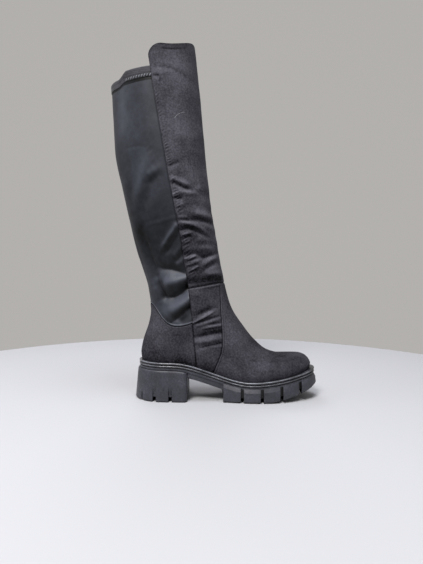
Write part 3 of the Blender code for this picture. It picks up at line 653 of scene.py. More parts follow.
def lay_sheet(grid, turn_at, low_at, high_at):
    """Lays a grid on the upper between two side edges and two edges that its columns reach."""
    columns, rows = grid
    share = crowded(columns, COLUMN_CROWDING)
    low, high = low_at(share), high_at(share)
    climb = crowded(rows, ROW_CROWDING)[:, None]
    place = mix(low[None, :], high[None, :], climb)
    turn = turn_at(np.broadcast_to(share, place.shape), place)
    points = upper_points(place, turn)
    across, up = run_along(points, 1), run_along(points, 0)
    return Sheet(points, ways_out(place, turn), across, across[:, -1:] - across, up, up[-1:] - up)


def fold_relief(sheet, folds):
    """How far the folds lift or sink a sheet, fading where it turns away from the side view.

    A trough stands out by less than 0. Soft is 2 for a round fold and near 1 for a crease, and start and
    end are the shares of a fold that are left at the ends of its path.
    """
    x, y, z = np.moveaxis(sheet.points, -1, 0)
    inner = y > 0.0
    x = np.where(inner, x + INNER_SHIFT_X, x) / MM
    z = np.where(inner, z + INNER_SHIFT_Z, z) / MM
    relief = np.zeros_like(x)
    for fold in folds:
        path = np.array(fold.path, float)
        lengths = np.linalg.norm(np.diff(path, axis=0), axis=1)
        starts = np.concatenate([[0.0], np.cumsum(lengths)])
        best = np.full(x.shape, np.inf)
        reach = np.zeros_like(x)
        for begin, end, length, start in zip(path, path[1:], lengths, starts):
            way = (end - begin) / length
            along = np.clip((x - begin[0]) * way[0] + (z - begin[1]) * way[1], 0.0, length)
            away = np.hypot(x - begin[0] - along * way[0], z - begin[1] - along * way[1])
            nearer = away < best
            best = np.where(nearer, away, best)
            reach = np.where(nearer, (start + along) / starts[-1], reach)
        fade = mix(fold.start, 1.0, smooth_step(0.0, FOLD_FADE, reach))
        fade = fade * mix(fold.end, 1.0, smooth_step(0.0, FOLD_FADE, 1.0 - reach))
        relief += fold.out * fade * np.exp(-((best / fold.width) ** fold.soft))
    relief *= smooth_step(FACING_LOW, FACING_HIGH, np.abs(sheet.out[..., 1]))
    return relief * np.where(inner, INNER_SHARE, 1.0) * MM


def wave_pair(points, pair):
    """Two waves through space, one times the other."""
    first, second = (np.sin(points @ np.array(wave[:3]) + wave.start) for wave in pair)
    return first * second


def slack_relief(sheet, out):
    """The slow unevenness of a soft wall that nothing fills."""
    slow, quick = wave_pair(sheet.points, SLOW_WAVES), wave_pair(sheet.points, QUICK_WAVES)
    return out * (slow + QUICK_SHARE * quick)


def bell(value, middle, width):
    """1 at the middle, fading on both sides of it."""
    return np.exp(-(((value - middle) / width) ** 2))


def line_beside(distance, line):
    """How much a line beside an edge lifts or darkens a panel."""
    return line.amount * bell(distance, line.away, line.width)


def step_beside(distance, step):
    """How far a panel stands out near an edge."""
    return step.out * smooth_step(step.start, step.full, distance)


def patch_shade(sheet, patches):
    """How much darker a sheet lies in its patches."""
    x, _, z = np.moveaxis(sheet.points, -1, 0)
    return sum(
        patch.dark * bell(x, patch.x, patch.length) * bell(z, patch.z, patch.height) for patch in patches
    )


def rolled_edge(distance, roll=SEAM_ROLL):
    """A panel's edge where it turns in to its seam."""
    return -roll.depth * bell(distance, 0.0, roll.reach)


def to_material(name):
    return bpy.data.materials[name]


def add_piece(name, shape, materials, node, angle=SMOOTH_ANGLE):
    """Makes a finished bmesh a piece that rides on the frame and, where it has one, replaces a CAD node."""
    mesh = bpy.data.meshes.new(name)
    shape.to_mesh(mesh)
    shape.free()
    for material in materials:
        mesh.materials.append(to_material(material))
    mesh.shade_smooth()
    mesh.set_sharp_from_angle(angle=angle)
    made = bpy.data.objects.new(name, mesh)
    bpy.context.scene.collection.objects.link(made)
    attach(made, "root")
    if node:
        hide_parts(node)


def sew_panel(name, outer, inner, wear, materials, node):
    """A panel with a wall: a grid outside, pushed through to the inside and closed round its edge."""
    rows, columns = outer.shape[:2]
    shape = bmesh.new()
    bmesh.ops.create_grid(shape, x_segments=columns - 1, y_segments=rows - 1, size=0.5)
    wear_and_light_layer = shape.verts.layers.float.new("wear")
    number_of = shape.verts.layers.int.new("number")
    outside, inside = to_origin(outer).reshape(-1, 3), to_origin(inner).reshape(-1, 3)
    for vertex in shape.verts:
        column = round((vertex.co.x + 0.5) * (columns - 1))
        row = round((vertex.co.y + 0.5) * (rows - 1))
        vertex[number_of] = row * columns + column
    pushed = bmesh.ops.extrude_face_region(shape, geom=shape.faces[:], use_keep_orig=True)
    within = {item for item in pushed["geom"] if isinstance(item, bmesh.types.BMVert)}
    worn_and_painted = wear.ravel()
    for vertex in shape.verts:
        vertex.co = (inside if vertex in within else outside)[vertex[number_of]]
        vertex[wear_and_light_layer] = worn_and_painted[vertex[number_of]]
    for face in shape.faces:
        face.material_index = 1 if any(vertex in within for vertex in face.verts) else 0
    shape.verts.layers.int.remove(number_of)
    shape.normal_update()
    bmesh.ops.recalc_face_normals(shape, faces=shape.faces[:])
    add_piece(name, shape, materials, node)


def finish_panel(name, sheet, relief, soft, wall, materials, node, dark=0.0):
    """Lifts a sheet by its relief, gives it wear with painted light and shade and a wall under its folds,
    and returns its outside.
    """
    # Crests come out paler, partly as wear and partly as painted light; folds that face up get painted
    # light, and troughs, the foot of the panel near the sole and the lines and patches in dark get painted
    # shade, or painted gleam where dark is below 0
    tilt = -np.gradient(soft, axis=0) / np.gradient(sheet.low, axis=0)
    above_sole = sheet.points[..., 2] - feather_z(sheet.points[..., 0])
    sole_shade = SOLE_SHADE_SHARE * np.exp(-(above_sole / SOLE_SHADE_REACH))
    height = soft + WEAR_AND_SHADE_DETAIL * (relief - soft)
    wear = np.tanh((height - np.median(height)) / WEAR_AND_SHADE_DEPTH + PAINTED_LIGHT_TILT * tilt) - sole_shade - dark
    under = np.minimum(relief - LEAST_WALL * wall, soft - wall)
    outer = sheet.points + sheet.out * relief[..., None]
    inner = sheet.points + sheet.out * under[..., None]
    sew_panel(name, outer, inner, wear, materials, node)
    return outer


# Colours and materials, with how far wear and painted light and shade shift their colour and how far they
# polish rubber
CLOTH_WEAR_AND_LIGHT, RUBBER_PAINTED_LIGHT = 0.2, 0.3
RUBBER_GLOSS = 0.1


def linear(code):
    """A hex colour of the screen as linear light, by the sRGB curve."""
    parts = [int(code[start : start + 2], 16) / 255.0 for start in (1, 3, 5)]
    light = [part / 12.92 if part <= 0.04045 else ((part + 0.055) / 1.055) ** 2.4 for part in parts]
    return (*light, 1.0)


def per_metre(millimetres):
    """Texture scale that gives a pattern of this size."""
    return 1.0 / (millimetres * MM)


def add_node(tree, kind, values=None, links=None, **settings):
    made = tree.nodes.new(kind)
    for name, value in settings.items():
        setattr(made, name, value)
    for name, value in (values or {}).items():
        made.inputs[name].default_value = value
    for name, socket in (links or {}).items():
        tree.links.new(socket, made.inputs[name])
    return made


def new_material(name):
    material = bpy.data.materials.new(name)
    material.use_nodes = True
    tree = material.node_tree
    return tree, tree.nodes["Principled BSDF"]


def set_stops(ramp, stops):
    """Gives a colour ramp its stops as pairs of place and hex colour."""
    elements = ramp.color_ramp.elements
    while len(elements) < len(stops):
        elements.new(0.5)
    for element, (place, code) in zip(elements, stops):
        element.position = place
        element.color = linear(code)


def mottled(tree, shader, stops, coarse_mm, fine_mm, patchy=1.0, wear=0.0):
    """Colour that wanders between its stops in cloudy patches with finer flecks, and follows the wear and
    the painted light and shade.
    """
    where = add_node(tree, "ShaderNodeTexCoord").outputs["Object"]
    coarse = add_node(
        tree,
        "ShaderNodeTexNoise",
        {"Scale": per_metre(coarse_mm), "Detail": 3.0, "Roughness": 0.55},
        {"Vector": where},
    )
    fine = add_node(
        tree,
        "ShaderNodeTexNoise",
        {"Scale": per_metre(fine_mm), "Detail": 3.0, "Roughness": 0.6},
        {"Vector": where},
    )
    links = {0: coarse.outputs["Fac"], 1: fine.outputs["Fac"]}
    both = add_node(tree, "ShaderNodeMath", None, links, operation="ADD")
    spread = {"From Max": 2.0, "To Min": 0.5 - patchy / 2.0, "To Max": 0.5 + patchy / 2.0}
    level = add_node(tree, "ShaderNodeMapRange", spread, {"Value": both.outputs[0]}, clamp=False)
    shade = level.outputs[0]
    if wear:
        # The attribute carries wear and painted light and shade into the colour
        worn_and_painted = add_node(tree, "ShaderNodeAttribute", attribute_name="wear")
        links = {0: worn_and_painted.outputs["Fac"], 2: shade}
        shade = add_node(tree, "ShaderNodeMath", {1: wear}, links, operation="MULTIPLY_ADD").outputs[0]
    ramp = add_node(tree, "ShaderNodeValToRGB", None, {"Fac": shade})
    set_stops(ramp, stops)
    tree.links.new(ramp.outputs["Color"], shader.inputs["Base Color"])
    return where, shade


def add_grain(tree, shader, where, noise, relief):
    """Fine relief of a surface, from a noise pattern and the bump that it makes."""
    pattern = add_node(tree, "ShaderNodeTexNoise", noise, {"Vector": where})
    bump = add_node(tree, "ShaderNodeBump", relief, {"Height": pattern.outputs["Fac"]})
    tree.links.new(bump.outputs["Normal"], shader.inputs["Normal"])


def make_suede():
    """Microfibre suede, brushed: a matt nap that looks cloudy where it was stroked, with a faint pale sheen
    and painted light where its folds face up.

    The nap's fibres are too fine to show, so they are drawn as coarse as tufts.
    """
    tree, shader = new_material("brushed_suede")
    stops = ((0.28, "#0d0c10"), (0.5, "#424148"), (0.74, "#67666f"))
    where, _ = mottled(tree, shader, stops, coarse_mm=42.0, fine_mm=2.6, patchy=0.8, wear=CLOTH_WEAR_AND_LIGHT)
    nap = {"Scale": per_metre(1.1), "Detail": 4.0, "Roughness": 0.7}
    add_grain(tree, shader, where, nap, {"Strength": 0.55, "Distance": 0.5 * MM})
    shader.inputs["Roughness"].default_value = 0.92
    shader.inputs["Specular IOR Level"].default_value = 0.1
    shader.inputs["Sheen Weight"].default_value = 0.03
    shader.inputs["Sheen Roughness"].default_value = 0.45
    shader.inputs["Sheen Tint"].default_value = linear("#c9c8d0")


def make_stretch():
    """Knitted elastane satin: smooth and a little blue, with a broad soft gleam along its folds that is
    partly its own gloss and partly painted highlight.

    The stitches of the knit are too fine to show, so it is drawn coarser.
    """
    tree, shader = new_material("satin_stretch_knit")
    stops = ((0.3, "#040506"), (0.5, "#2f3138"), (0.7, "#494c56"))
    where, _ = mottled(tree, shader, stops, coarse_mm=60.0, fine_mm=7.0, patchy=0.3, wear=CLOTH_WEAR_AND_LIGHT)
    knit = {"Scale": per_metre(0.8), "Detail": 2.0, "Roughness": 0.5}
    add_grain(tree, shader, where, knit, {"Strength": 0.3, "Distance": 0.2 * MM})
    shader.inputs["Roughness"].default_value = 0.46
    shader.inputs["Specular IOR Level"].default_value = 0.22
    shader.inputs["Sheen Weight"].default_value = 0.02
    shader.inputs["Sheen Roughness"].default_value = 0.35
    shader.inputs["Sheen Tint"].default_value = linear("#c4c8d8")


# Pitch of the tape's ribs, and the length after which a wave texture repeats at scale 1
RIB_MM = 2.762
WAVE_LENGTH = math.pi / 10.0


def make_elastic():
    """Woven elastic tape: matt and ribbed along its length, a shade darker than the satin below it.

    Its ribs are too fine to show, so they are drawn about twice as coarse.
    """
    tree, shader = new_material("woven_elastic_tape")
    stops = ((0.28, "#0a0a0e"), (0.46, "#2d2d33"), (0.6, "#3a3a41"))
    where, _ = mottled(tree, shader, stops, coarse_mm=20.0, fine_mm=3.0, wear=CLOTH_WEAR_AND_LIGHT)
    ribs = add_node(
        tree,
        "ShaderNodeTexWave",
        {"Scale": WAVE_LENGTH * per_metre(RIB_MM), "Distortion": 0.6},
        {"Vector": where},
        bands_direction="Z",
    )
    bump = add_node(
        tree,
        "ShaderNodeBump",
        {"Strength": 0.35, "Distance": 0.25 * MM},
        {"Height": ribs.outputs["Fac"]},
    )
    tree.links.new(bump.outputs["Normal"], shader.inputs["Normal"])
    shader.inputs["Roughness"].default_value = 0.7
    shader.inputs["Specular IOR Level"].default_value = 0.35
    shader.inputs["Sheen Weight"].default_value = 0.1


def make_lining():
    """Brushed tricot lining: dull black cloth that takes the light evenly.

    Its loops are too fine to show, so they are drawn coarser.
    """
    tree, shader = new_material("tricot_lining")
    stops = ((0.4, "#1c1c1e"), (0.6, "#252527"))
    where, _ = mottled(tree, shader, stops, coarse_mm=18.0, fine_mm=2.0)
    weave = {"Scale": per_metre(0.9), "Detail": 2.0}
    add_grain(tree, shader, where, weave, {"Strength": 0.4, "Distance": 0.3 * MM})
    shader.inputs["Roughness"].default_value = 0.95
    shader.inputs["Specular IOR Level"].default_value = 0.2


def make_thread(name, dark, pale):
    """Spun polyester thread: dull, with a twist that is too fine to show and so is drawn coarser."""
    tree, shader = new_material(name)
    stops = ((0.4, dark), (0.6, pale))
    where, _ = mottled(tree, shader, stops, coarse_mm=6.0, fine_mm=0.8)
    twist = {"Scale": per_metre(0.4), "Detail": 1.0}
    add_grain(tree, shader, where, twist, {"Strength": 0.5, "Distance": 0.1 * MM})
    shader.inputs["Roughness"].default_value = 0.75
    shader.inputs["Specular IOR Level"].default_value = 0.3


def make_rubber(name, stops, roughness, specular):
    """Moulded thermoplastic rubber: a fine grain, half matt, with painted highlights where it faces up and
    painted shade in its slots and at the floor.
    """
    tree, shader = new_material(name)
    where, patches = mottled(tree, shader, stops, coarse_mm=22.0, fine_mm=2.4, wear=RUBBER_PAINTED_LIGHT)
    grain = {"Scale": per_metre(0.7), "Detail": 3.0, "Roughness": 0.6}
    add_grain(tree, shader, where, grain, {"Strength": 0.35, "Distance": 0.16 * MM})
    gloss = add_node(
        tree,
        "ShaderNodeMapRange",
        {
            "From Min": 0.2,
            "From Max": 0.8,
            "To Min": roughness + RUBBER_GLOSS,
            "To Max": roughness - RUBBER_GLOSS,
        },
        {"Value": patches},
    )
    tree.links.new(gloss.outputs[0], shader.inputs["Roughness"])
    shader.inputs["Specular IOR Level"].default_value = specular


def make_studio(name, code):
    _, shader = new_material(name)
    shader.inputs["Base Color"].default_value = linear(code)
    shader.inputs["Roughness"].default_value = 0.9
    shader.inputs["Specular IOR Level"].default_value = 0.2


make_suede()
make_stretch()
make_elastic()
make_lining()
make_thread("dark_sewing_thread", "#242326", "#302f32")
make_thread("grey_overlock_thread", "#6a6c74", "#7e8088")
make_thread("pale_lint_fibre", "#9a9a9e", "#b2b2b6")
make_rubber(
    "moulded_sole_rubber",
    ((0.22, "#0a0a0c"), (0.4, "#2f3036"), (0.5, "#373840"), (0.6, "#41424a"), (0.8, "#6a6b74")),
    roughness=0.5,
    specular=0.45,
)
make_rubber(
    "moulded_welt_rubber",
    ((0.22, "#08080a"), (0.4, "#2b2c31"), (0.5, "#34353b"), (0.6, "#404147"), (0.8, "#84868f")),
    roughness=0.34,
    specular=0.75,
)
make_studio("pale_studio_floor", "#bfc0c4")

SUEDE = ("brushed_suede", "tricot_lining")


# The panels of shaft and foot
def front_turn(share, place):
    edge = side_seam_turn(place)
    return mix(edge, 2.0 - edge, share)


def back_turn(share, place):
    return (2.0 * share - 1.0) * side_seam_turn(place)


def vamp_turn(share, place):
    edge = vamp_seam_turn(place)
    return mix(edge, 2.0 - edge, share)


def outer_side_turn(share, place):
    return mix(side_seam_turn(place), vamp_seam_turn(place), share)


def inner_side_turn(share, place):
    return 2.0 - outer_side_turn(1.0 - share, place)


def reach(turn_at, height_at, places):
    """A rule for the place in the table where a panel's columns reach an edge."""
    return lambda share: place_at_height(share, turn_at, height_at, *places)


def from_sole(share):
    return np.zeros_like(share)


def sway(run, sways):
    return sum(part.size * np.sin(run / part.length + part.start) for part in sways)


def pucker_relief(sheet):
    """Short gathers along a seam of the front panel, drawn up harder towards the ankle."""
    seam = np.minimum(sheet.first, sheet.last)
    z = sheet.points[..., 2]
    low = smooth_step(*PUCKER_LOW, z)
    centre = mix(PUCKER_CENTRE, PUCKER_CENTRE_LOW, low)
    width = mix(PUCKER_REACH, PUCKER_REACH_LOW, low)
    turns = (sheet.low - PUCKER_SLANT * seam) / PUCKER_PITCH
    wave = np.cos(2.0 * math.pi * turns + sway(sheet.low, PUCKER_WANDER))
    heights, depths = np.array(PUCKERS).T
    depth = np.interp(z, heights, depths) * (PUCKER_SHARE + sway(sheet.low, PUCKER_SWAYS))
    return depth * wave * bell(seam, centre, width)


def crumple_relief(sheet):
    """Small slanting dents that fill the front panel between its folds, from the ankle to the calf."""
    x, _, z = np.moveaxis(sheet.points, -1, 0)
    rising = np.sin((z + RISE_SLANT * x) / RISE_LENGTH + sway(x, RISE_SWAY))
    falling = np.sin((z - FALL_SLANT * x) / FALL_LENGTH + sway(z, FALL_SWAY))
    return CRUMPLE_DEPTH * rising * falling * smooth_step(*CRUMPLE_TOP, z) * smooth_step(*CRUMPLE_FOOT, z)


def make_front_panel():
    low_at = reach(front_turn, lambda x: lap_top(x) - LAP_UNDER, TUCK_PLACES)
    sheet = lay_sheet(FRONT_GRID, front_turn, low_at, reach(front_turn, flap_top, FLAP_PLACES))
    x, _, z = np.moveaxis(sheet.points, -1, 0)
    seam = np.minimum(sheet.first, sheet.last)
    soft = fold_relief(sheet, FRONT_FOLDS) + slack_relief(sheet, FRONT_SLACK) + crumple_relief(sheet)
    hem = bell(sheet.high, HEM_FROM_TOP, HEM_WIDTH)
    hem = hem * smooth_step(*HEM_START, x) * smooth_step(*HEM_END, x)
    relief = soft + pucker_relief(sheet) + rolled_edge(seam) + rolled_edge(sheet.high, FLAP_ROLL)
    relief = relief - HEM_DEPTH * hem + step_beside(sheet.low, LAP_TUCK)
    # Painted shade along the flap's top, in the hem, in patches and beside the seam near the top
    dark = line_beside(sheet.high, FLAP_SHADE) + HEM_SHADE * hem + patch_shade(sheet, FRONT_PATCHES)
    dark = dark + line_beside(seam, FLAP_SEAM_SHADE) * smooth_step(*FLAP_SEAM_START, z)
    return finish_panel("front_panel", sheet, relief, soft, SUEDE_WALL, SUEDE, "upper", dark)


def make_vamp():
    sheet = lay_sheet(VAMP_GRID, vamp_turn, from_sole, reach(vamp_turn, lap_top, LAP_PLACES))
    seam = np.minimum(sheet.first, sheet.last)
    soft = slack_relief(sheet, VAMP_SLACK)
    relief = soft + step_beside(seam, VAMP_STEP) + rolled_edge(seam, VAMP_ROLL)
    relief = relief + step_beside(sheet.high, LAP_STEP) + rolled_edge(sheet.high, LAP_ROLL)
    # Painted gleam along the lap's edge, and painted shade beside the seam, on the instep and on the toe's
    # top
    instep = smooth_step(*INSTEP_FACING, np.abs(sheet.out[..., 1]))
    instep = instep * smooth_step(*INSTEP_HEIGHT, sheet.points[..., 2])
    toe = smooth_step(*TOE_FACING, sheet.out[..., 2])
    dark = line_beside(sheet.high, VAMP_LAP_GLEAM) + line_beside(seam, VAMP_SEAM_SHADE)
    dark = dark + INSTEP_SHADE * instep + TOE_SHADE * toe
    return finish_panel("vamp", sheet, relief, soft, SUEDE_WALL, SUEDE, "upper", dark)


def make_side_piece(name, turn_at):
    sheet = lay_sheet(SIDE_GRID, turn_at, from_sole, reach(turn_at, lap_top, LAP_PLACES))
    x = sheet.points[..., 0]
    soft = fold_relief(sheet, SIDE_FOLDS) + slack_relief(sheet, SIDE_SLACK)
    relief = soft + rolled_edge(np.minimum(sheet.first, sheet.last))
    relief = relief + step_beside(sheet.high, LAP_STEP) + rolled_edge(sheet.high, LAP_ROLL)
    # Painted shade over the whole piece, with a painted gleam and a painted shade along the lap's edge
    dark = SIDE_SHADE + smooth_step(*SIDE_GLEAM_START, x) * line_beside(sheet.high, SIDE_LAP_GLEAM)
    dark = dark + smooth_step(*SIDE_SHADE_START, x) * line_beside(sheet.high, SIDE_LAP_SHADE)
    return finish_panel(name, sheet, relief, soft, SUEDE_WALL, SUEDE, "upper", dark)


def make_heel_quarter():
    sheet = lay_sheet(QUARTER_GRID, back_turn, from_sole, reach(back_turn, quarter_top, QUARTER_PLACES))
    soft = slack_relief(sheet, QUARTER_SLACK)
    relief = soft + rolled_edge(np.minimum(sheet.first, sheet.last))
    relief = relief + step_beside(sheet.high, QUARTER_STEP) + rolled_edge(sheet.high, QUARTER_ROLL)
    # Painted shade over the whole quarter
    dark = QUARTER_SHADE
    return finish_panel("heel_quarter", sheet, relief, soft, SUEDE_WALL, SUEDE, "upper", dark)


def make_stretch_back():
    low_at = reach(back_turn, quarter_top, QUARTER_PLACES)
    sheet = lay_sheet(STRETCH_GRID, back_turn, low_at, reach(back_turn, band_low, RIM_PLACES))
    seam = np.minimum(sheet.first, sheet.last)
    soft = fold_relief(sheet, STRETCH_FOLDS) + slack_relief(sheet, STRETCH_SLACK) - STRETCH_SINK
    relief = soft + rolled_edge(seam, STRETCH_SEAM_ROLL)
    relief = relief + line_beside(sheet.low, PIPING_RIDGE) + rolled_edge(sheet.low, STRETCH_LOW_ROLL)
    # Painted shadow below the band, deeper where the overlock is sewn, painted gleam and shadow at the
    # piping, and painted patches
    sewn = smooth_step(*OVERLOCK_SHADE_START, sheet.points[..., 0])
    below_band = smooth_step(*BAND_SHADE_REACH, sheet.high - OVERLOCK_SHADE_MORE * sewn)
    dark = mix(BAND_SHADE, OVERLOCK_SHADE, sewn) * below_band + patch_shade(sheet, STRETCH_PATCHES)
    dark = dark + line_beside(sheet.low, PIPING_GLEAM) + line_beside(sheet.low, PIPING_SHADE)
    finish_panel(
        "stretch_back",
        sheet,
        relief,
        soft,
        STRETCH_WALL,
        ("satin_stretch_knit", "tricot_lining"),
        "stretch_panel",
        dark,
    )


def make_collar_band():
    low_at = reach(back_turn, lambda x: band_low(x) + GAP, RIM_PLACES)
    sheet = lay_sheet(BAND_GRID, back_turn, low_at, reach(back_turn, rim_z, RIM_PLACES))
    soft = np.zeros_like(sheet.low)
    relief = rolled_edge(sheet.high, RIM_ROLL) + rolled_edge(sheet.low, BAND_ROLL)
    relief = relief + line_beside(sheet.low, BAND_GROOVE)
    # Painted shade under the overlock stitches and along the band's foot
    sewn = smooth_step(*BAND_SEAM_START, sheet.points[..., 0])
    dark = sewn * line_beside(sheet.low, BAND_SEAM_SHADE) + line_beside(sheet.low, BAND_FOOT_SHADE)
    return finish_panel(
        "elastic_collar",
        sheet,
        relief,
        soft,
        SUEDE_WALL,
        ("woven_elastic_tape", "tricot_lining"),
        "collar_band",
        dark,
    )


front_panel = make_front_panel()
vamp = make_vamp()
outer_side = make_side_piece("outer_side_piece", outer_side_turn)
inner_side = make_side_piece("inner_side_piece", inner_side_turn)
heel_quarter = make_heel_quarter()
make_stretch_back()
collar = make_collar_band()


# Sole pieces
def edge_points(turns, out):
    """Points of the feather edge in plan, moved outwards, and a little further at the toe."""
    level = np.zeros_like(turns)
    here = upper_points(level, turns)
    run = upper_points(level, turns + OFFSET_STEP) - upper_points(level, turns - OFFSET_STEP)
    length = np.hypot(run[..., 0], run[..., 1])
    if out > 0.0:
        out = out + TOE_MORE * smooth_step(TOE_MORE_START, FEATHER_LENGTH, here[..., 0])
    return here[..., 0] + out * run[..., 1] / length, here[..., 1] - out * run[..., 0] / length


def edge_ring(out, down):
    """A ring round the whole foot, set out from the feather edge and down from it."""
    x, y = edge_points(np.linspace(0.0, 2.0, EDGE_COLUMNS, endpoint=False), out)
    return np.stack([x, y, feather_z(x) - down], axis=-1)


def sides_at(x, out, side):
    """Where the outline, moved outwards, passes places x on one side of the foot."""
    low, high = np.zeros_like(x), np.ones_like(x)
    for _ in range(HALVINGS):
        middle = (low + high) / 2.0
        behind = edge_points(middle if side < 0 else 2.0 - middle, out)[0] < x
        low, high = np.where(behind, middle, low), np.where(behind, high, middle)
    return edge_points(low if side < 0 else 2.0 - low, out)[1]


def tread_z(x):
    """Height of the tread above the floor: flat under heel and ball, rising to the toe."""
    return TREAD_SPRING * (np.maximum(x - TREAD_SPRING_START, 0.0) / TREAD_SPRING_LENGTH) ** TREAD_CURVE


def add_loft(shape, rings, closed_rows=False):
    """Lays a grid through rings of points and merges it where it meets itself."""
    rings = to_origin(np.array(rings))
    count, columns = rings.shape[:2]
    segments = count if closed_rows else count - 1
    made = bmesh.ops.create_grid(shape, x_segments=columns, y_segments=segments, size=0.5)
    for vertex in made["verts"]:
        column = round((vertex.co.x + 0.5) * columns) % columns
        row = round((vertex.co.y + 0.5) * segments) % count
        vertex.co = rings[row, column]
    bmesh.ops.remove_doubles(shape, verts=made["verts"], dist=MERGE_DISTANCE)


def capped(rings, opposite):
    """Adds rings that close both ends, drawn to the middle between each point and the one across."""
    numbers = (opposite - np.arange(len(rings[0]))) % len(rings[0])
    steps = np.linspace(0.0, 1.0, CAP_STEPS + 1)[1:]
    first, last = rings[0], rings[-1]
    start = [mix(first, (first + first[numbers]) / 2.0, share) for share in steps]
    end = [mix(last, (last + last[numbers]) / 2.0, share) for share in steps]
    return start[::-1] + list(rings) + end


def close_shape(shape):
    shape.normal_update()
    bmesh.ops.recalc_face_normals(shape, faces=shape.faces[:])
    return shape


def mark_painted_light(shape, rule):
    """Writes the painted light and shade of each vertex, from its place in the boot's measure and the way
    that it faces.
    """
    close_shape(shape)
    wear_and_light_layer = shape.verts.layers.float.new("wear")
    here = np.array([vertex.co[:] for vertex in shape.verts]) - to_origin(np.zeros(3))
    facing = np.array([vertex.normal[:] for vertex in shape.verts])
    for vertex, worn_and_painted in zip(shape.verts, rule(here, facing)):
        vertex[wear_and_light_layer] = worn_and_painted


def bead_painted_light(here, facing):
    """Painted highlight where the beads face up and out, the lower one less, and painted shade below them
    and at the toe tip.
    """
    depth = feather_z(here[:, 0]) - here[:, 2]
    on_upper = depth < 2.0 * UPPER_BEAD + GAP
    pale = bell(facing[:, 2], BEAD_FACING, BEAD_SPREAD) * np.where(on_upper, 1.0, LOWER_BEAD_SHARE)
    tip = smooth_step(*TOE_TIP, here[:, 0])
    under = smooth_step(*BEAD_UNDER_FACING, facing[:, 2])
    return pale * (1.0 - tip) - TOE_TIP_SHADE * tip - BEAD_UNDER_SHADE * under


def tread_painted_light(here, facing):
    """Painted highlight on the lugs' shoulders, and painted shade at the floor and in the slots."""
    up = here[:, 2] - tread_z(here[:, 0])
    slots = smooth_step(*SLOT_FACING, np.abs(facing[:, 0])) * smooth_step(*SLOT_TOP, here[:, 2])
    slots = slots * smooth_step(*SLOT_LAST, here[:, 0])
    pale = SHOULDER_HIGHLIGHT * smooth_step(*SHOULDER_FACING, facing[:, 2])
    return pale - TREAD_SHADE * smooth_step(*TREAD_SHADE_HEIGHT, up) - slots


def heel_painted_light(here, facing):
    """Painted highlight at the block's top edge and painted shade at the floor."""
    pale = HEEL_EDGE_HIGHLIGHT * smooth_step(*HEEL_HIGHLIGHT_FACING, facing[:, 2])
    return pale - HEEL_SHADE * smooth_step(*HEEL_SHADE_HEIGHT, here[:, 2])


def cut_box(shape, low, high):
    """Cuts a box out of a closed shape and returns what is left."""
    pieces = []
    for name, source in (("solid", shape), ("cutter", bmesh.new())):
        if name == "cutter":
            bmesh.ops.create_cube(source, size=1.0)
            for vertex in source.verts:
                spot = [mix(least, most, part + 0.5) for least, most, part in zip(low, high, vertex.co)]
                vertex.co = to_origin(spot)
        mesh = bpy.data.meshes.new(name)
        close_shape(source).to_mesh(mesh)
        source.free()
        made = bpy.data.objects.new(name, mesh)
        bpy.context.scene.collection.objects.link(made)
        pieces.append(made)
    solid, cutter = pieces
    boolean = solid.modifiers.new("cut", "BOOLEAN")
    boolean.operation = "DIFFERENCE"
    boolean.solver = "EXACT"
    boolean.object = cutter
    result = bmesh.new()
    result.from_object(solid, bpy.context.evaluated_depsgraph_get())
    for made in pieces:
        mesh = made.data
        bpy.data.objects.remove(made)
        bpy.data.meshes.remove(mesh)
    return result


def welt_profile():
    """The welt's section as pairs of out and down, from the inner top edge over both beads."""
    points = [(-WELT_INSIDE, GAP), (WELT_FACE - UPPER_BEAD, GAP)]
    down = GAP
    for radius in (UPPER_BEAD, LOWER_BEAD):
        for angle in np.linspace(math.pi / 2.0, -math.pi / 2.0, BEAD_STEPS + 1):
            out = WELT_FACE + BEAD_OUT + radius * math.cos(angle)
            points.append((out, down + radius * (1.0 - math.sin(angle))))
        down += 2.0 * radius + BEAD_GROOVE
        points.append((WELT_FACE, down - BEAD_GROOVE / 2.0))
    return points + [(-WELT_INSIDE, down - BEAD_GROOVE / 2.0)]


WELT_DEPTH = welt_profile()[-1][1]


def make_welt():
    shape = bmesh.new()
    add_loft(shape, [edge_ring(out, down) for out, down in welt_profile()], closed_rows=True)
    mark_painted_light(shape, bead_painted_light)
    add_piece("beaded_welt", shape, ("moulded_welt_rubber",), "welt")


def add_plate(shape):
    """The sole plate, whose core rises inside the welt."""
    rings = [
        edge_ring(-PLATE_CORE_INSIDE, GAP),
        edge_ring(-PLATE_CORE_INSIDE, WELT_DEPTH + GAP),
        edge_ring(PLATE_OUT - GAP, WELT_DEPTH + GAP),
        edge_ring(PLATE_OUT, WELT_DEPTH + 2.0 * GAP),
        edge_ring(PLATE_OUT, PLATE_DEPTH - PLATE_EDGE),
        edge_ring(PLATE_OUT - PLATE_EDGE * EDGE_ROUND, PLATE_DEPTH - PLATE_EDGE * EDGE_ROUND),
        edge_ring(PLATE_OUT - PLATE_EDGE, PLATE_DEPTH),
    ]
    add_loft(shape, capped(rings, 0))


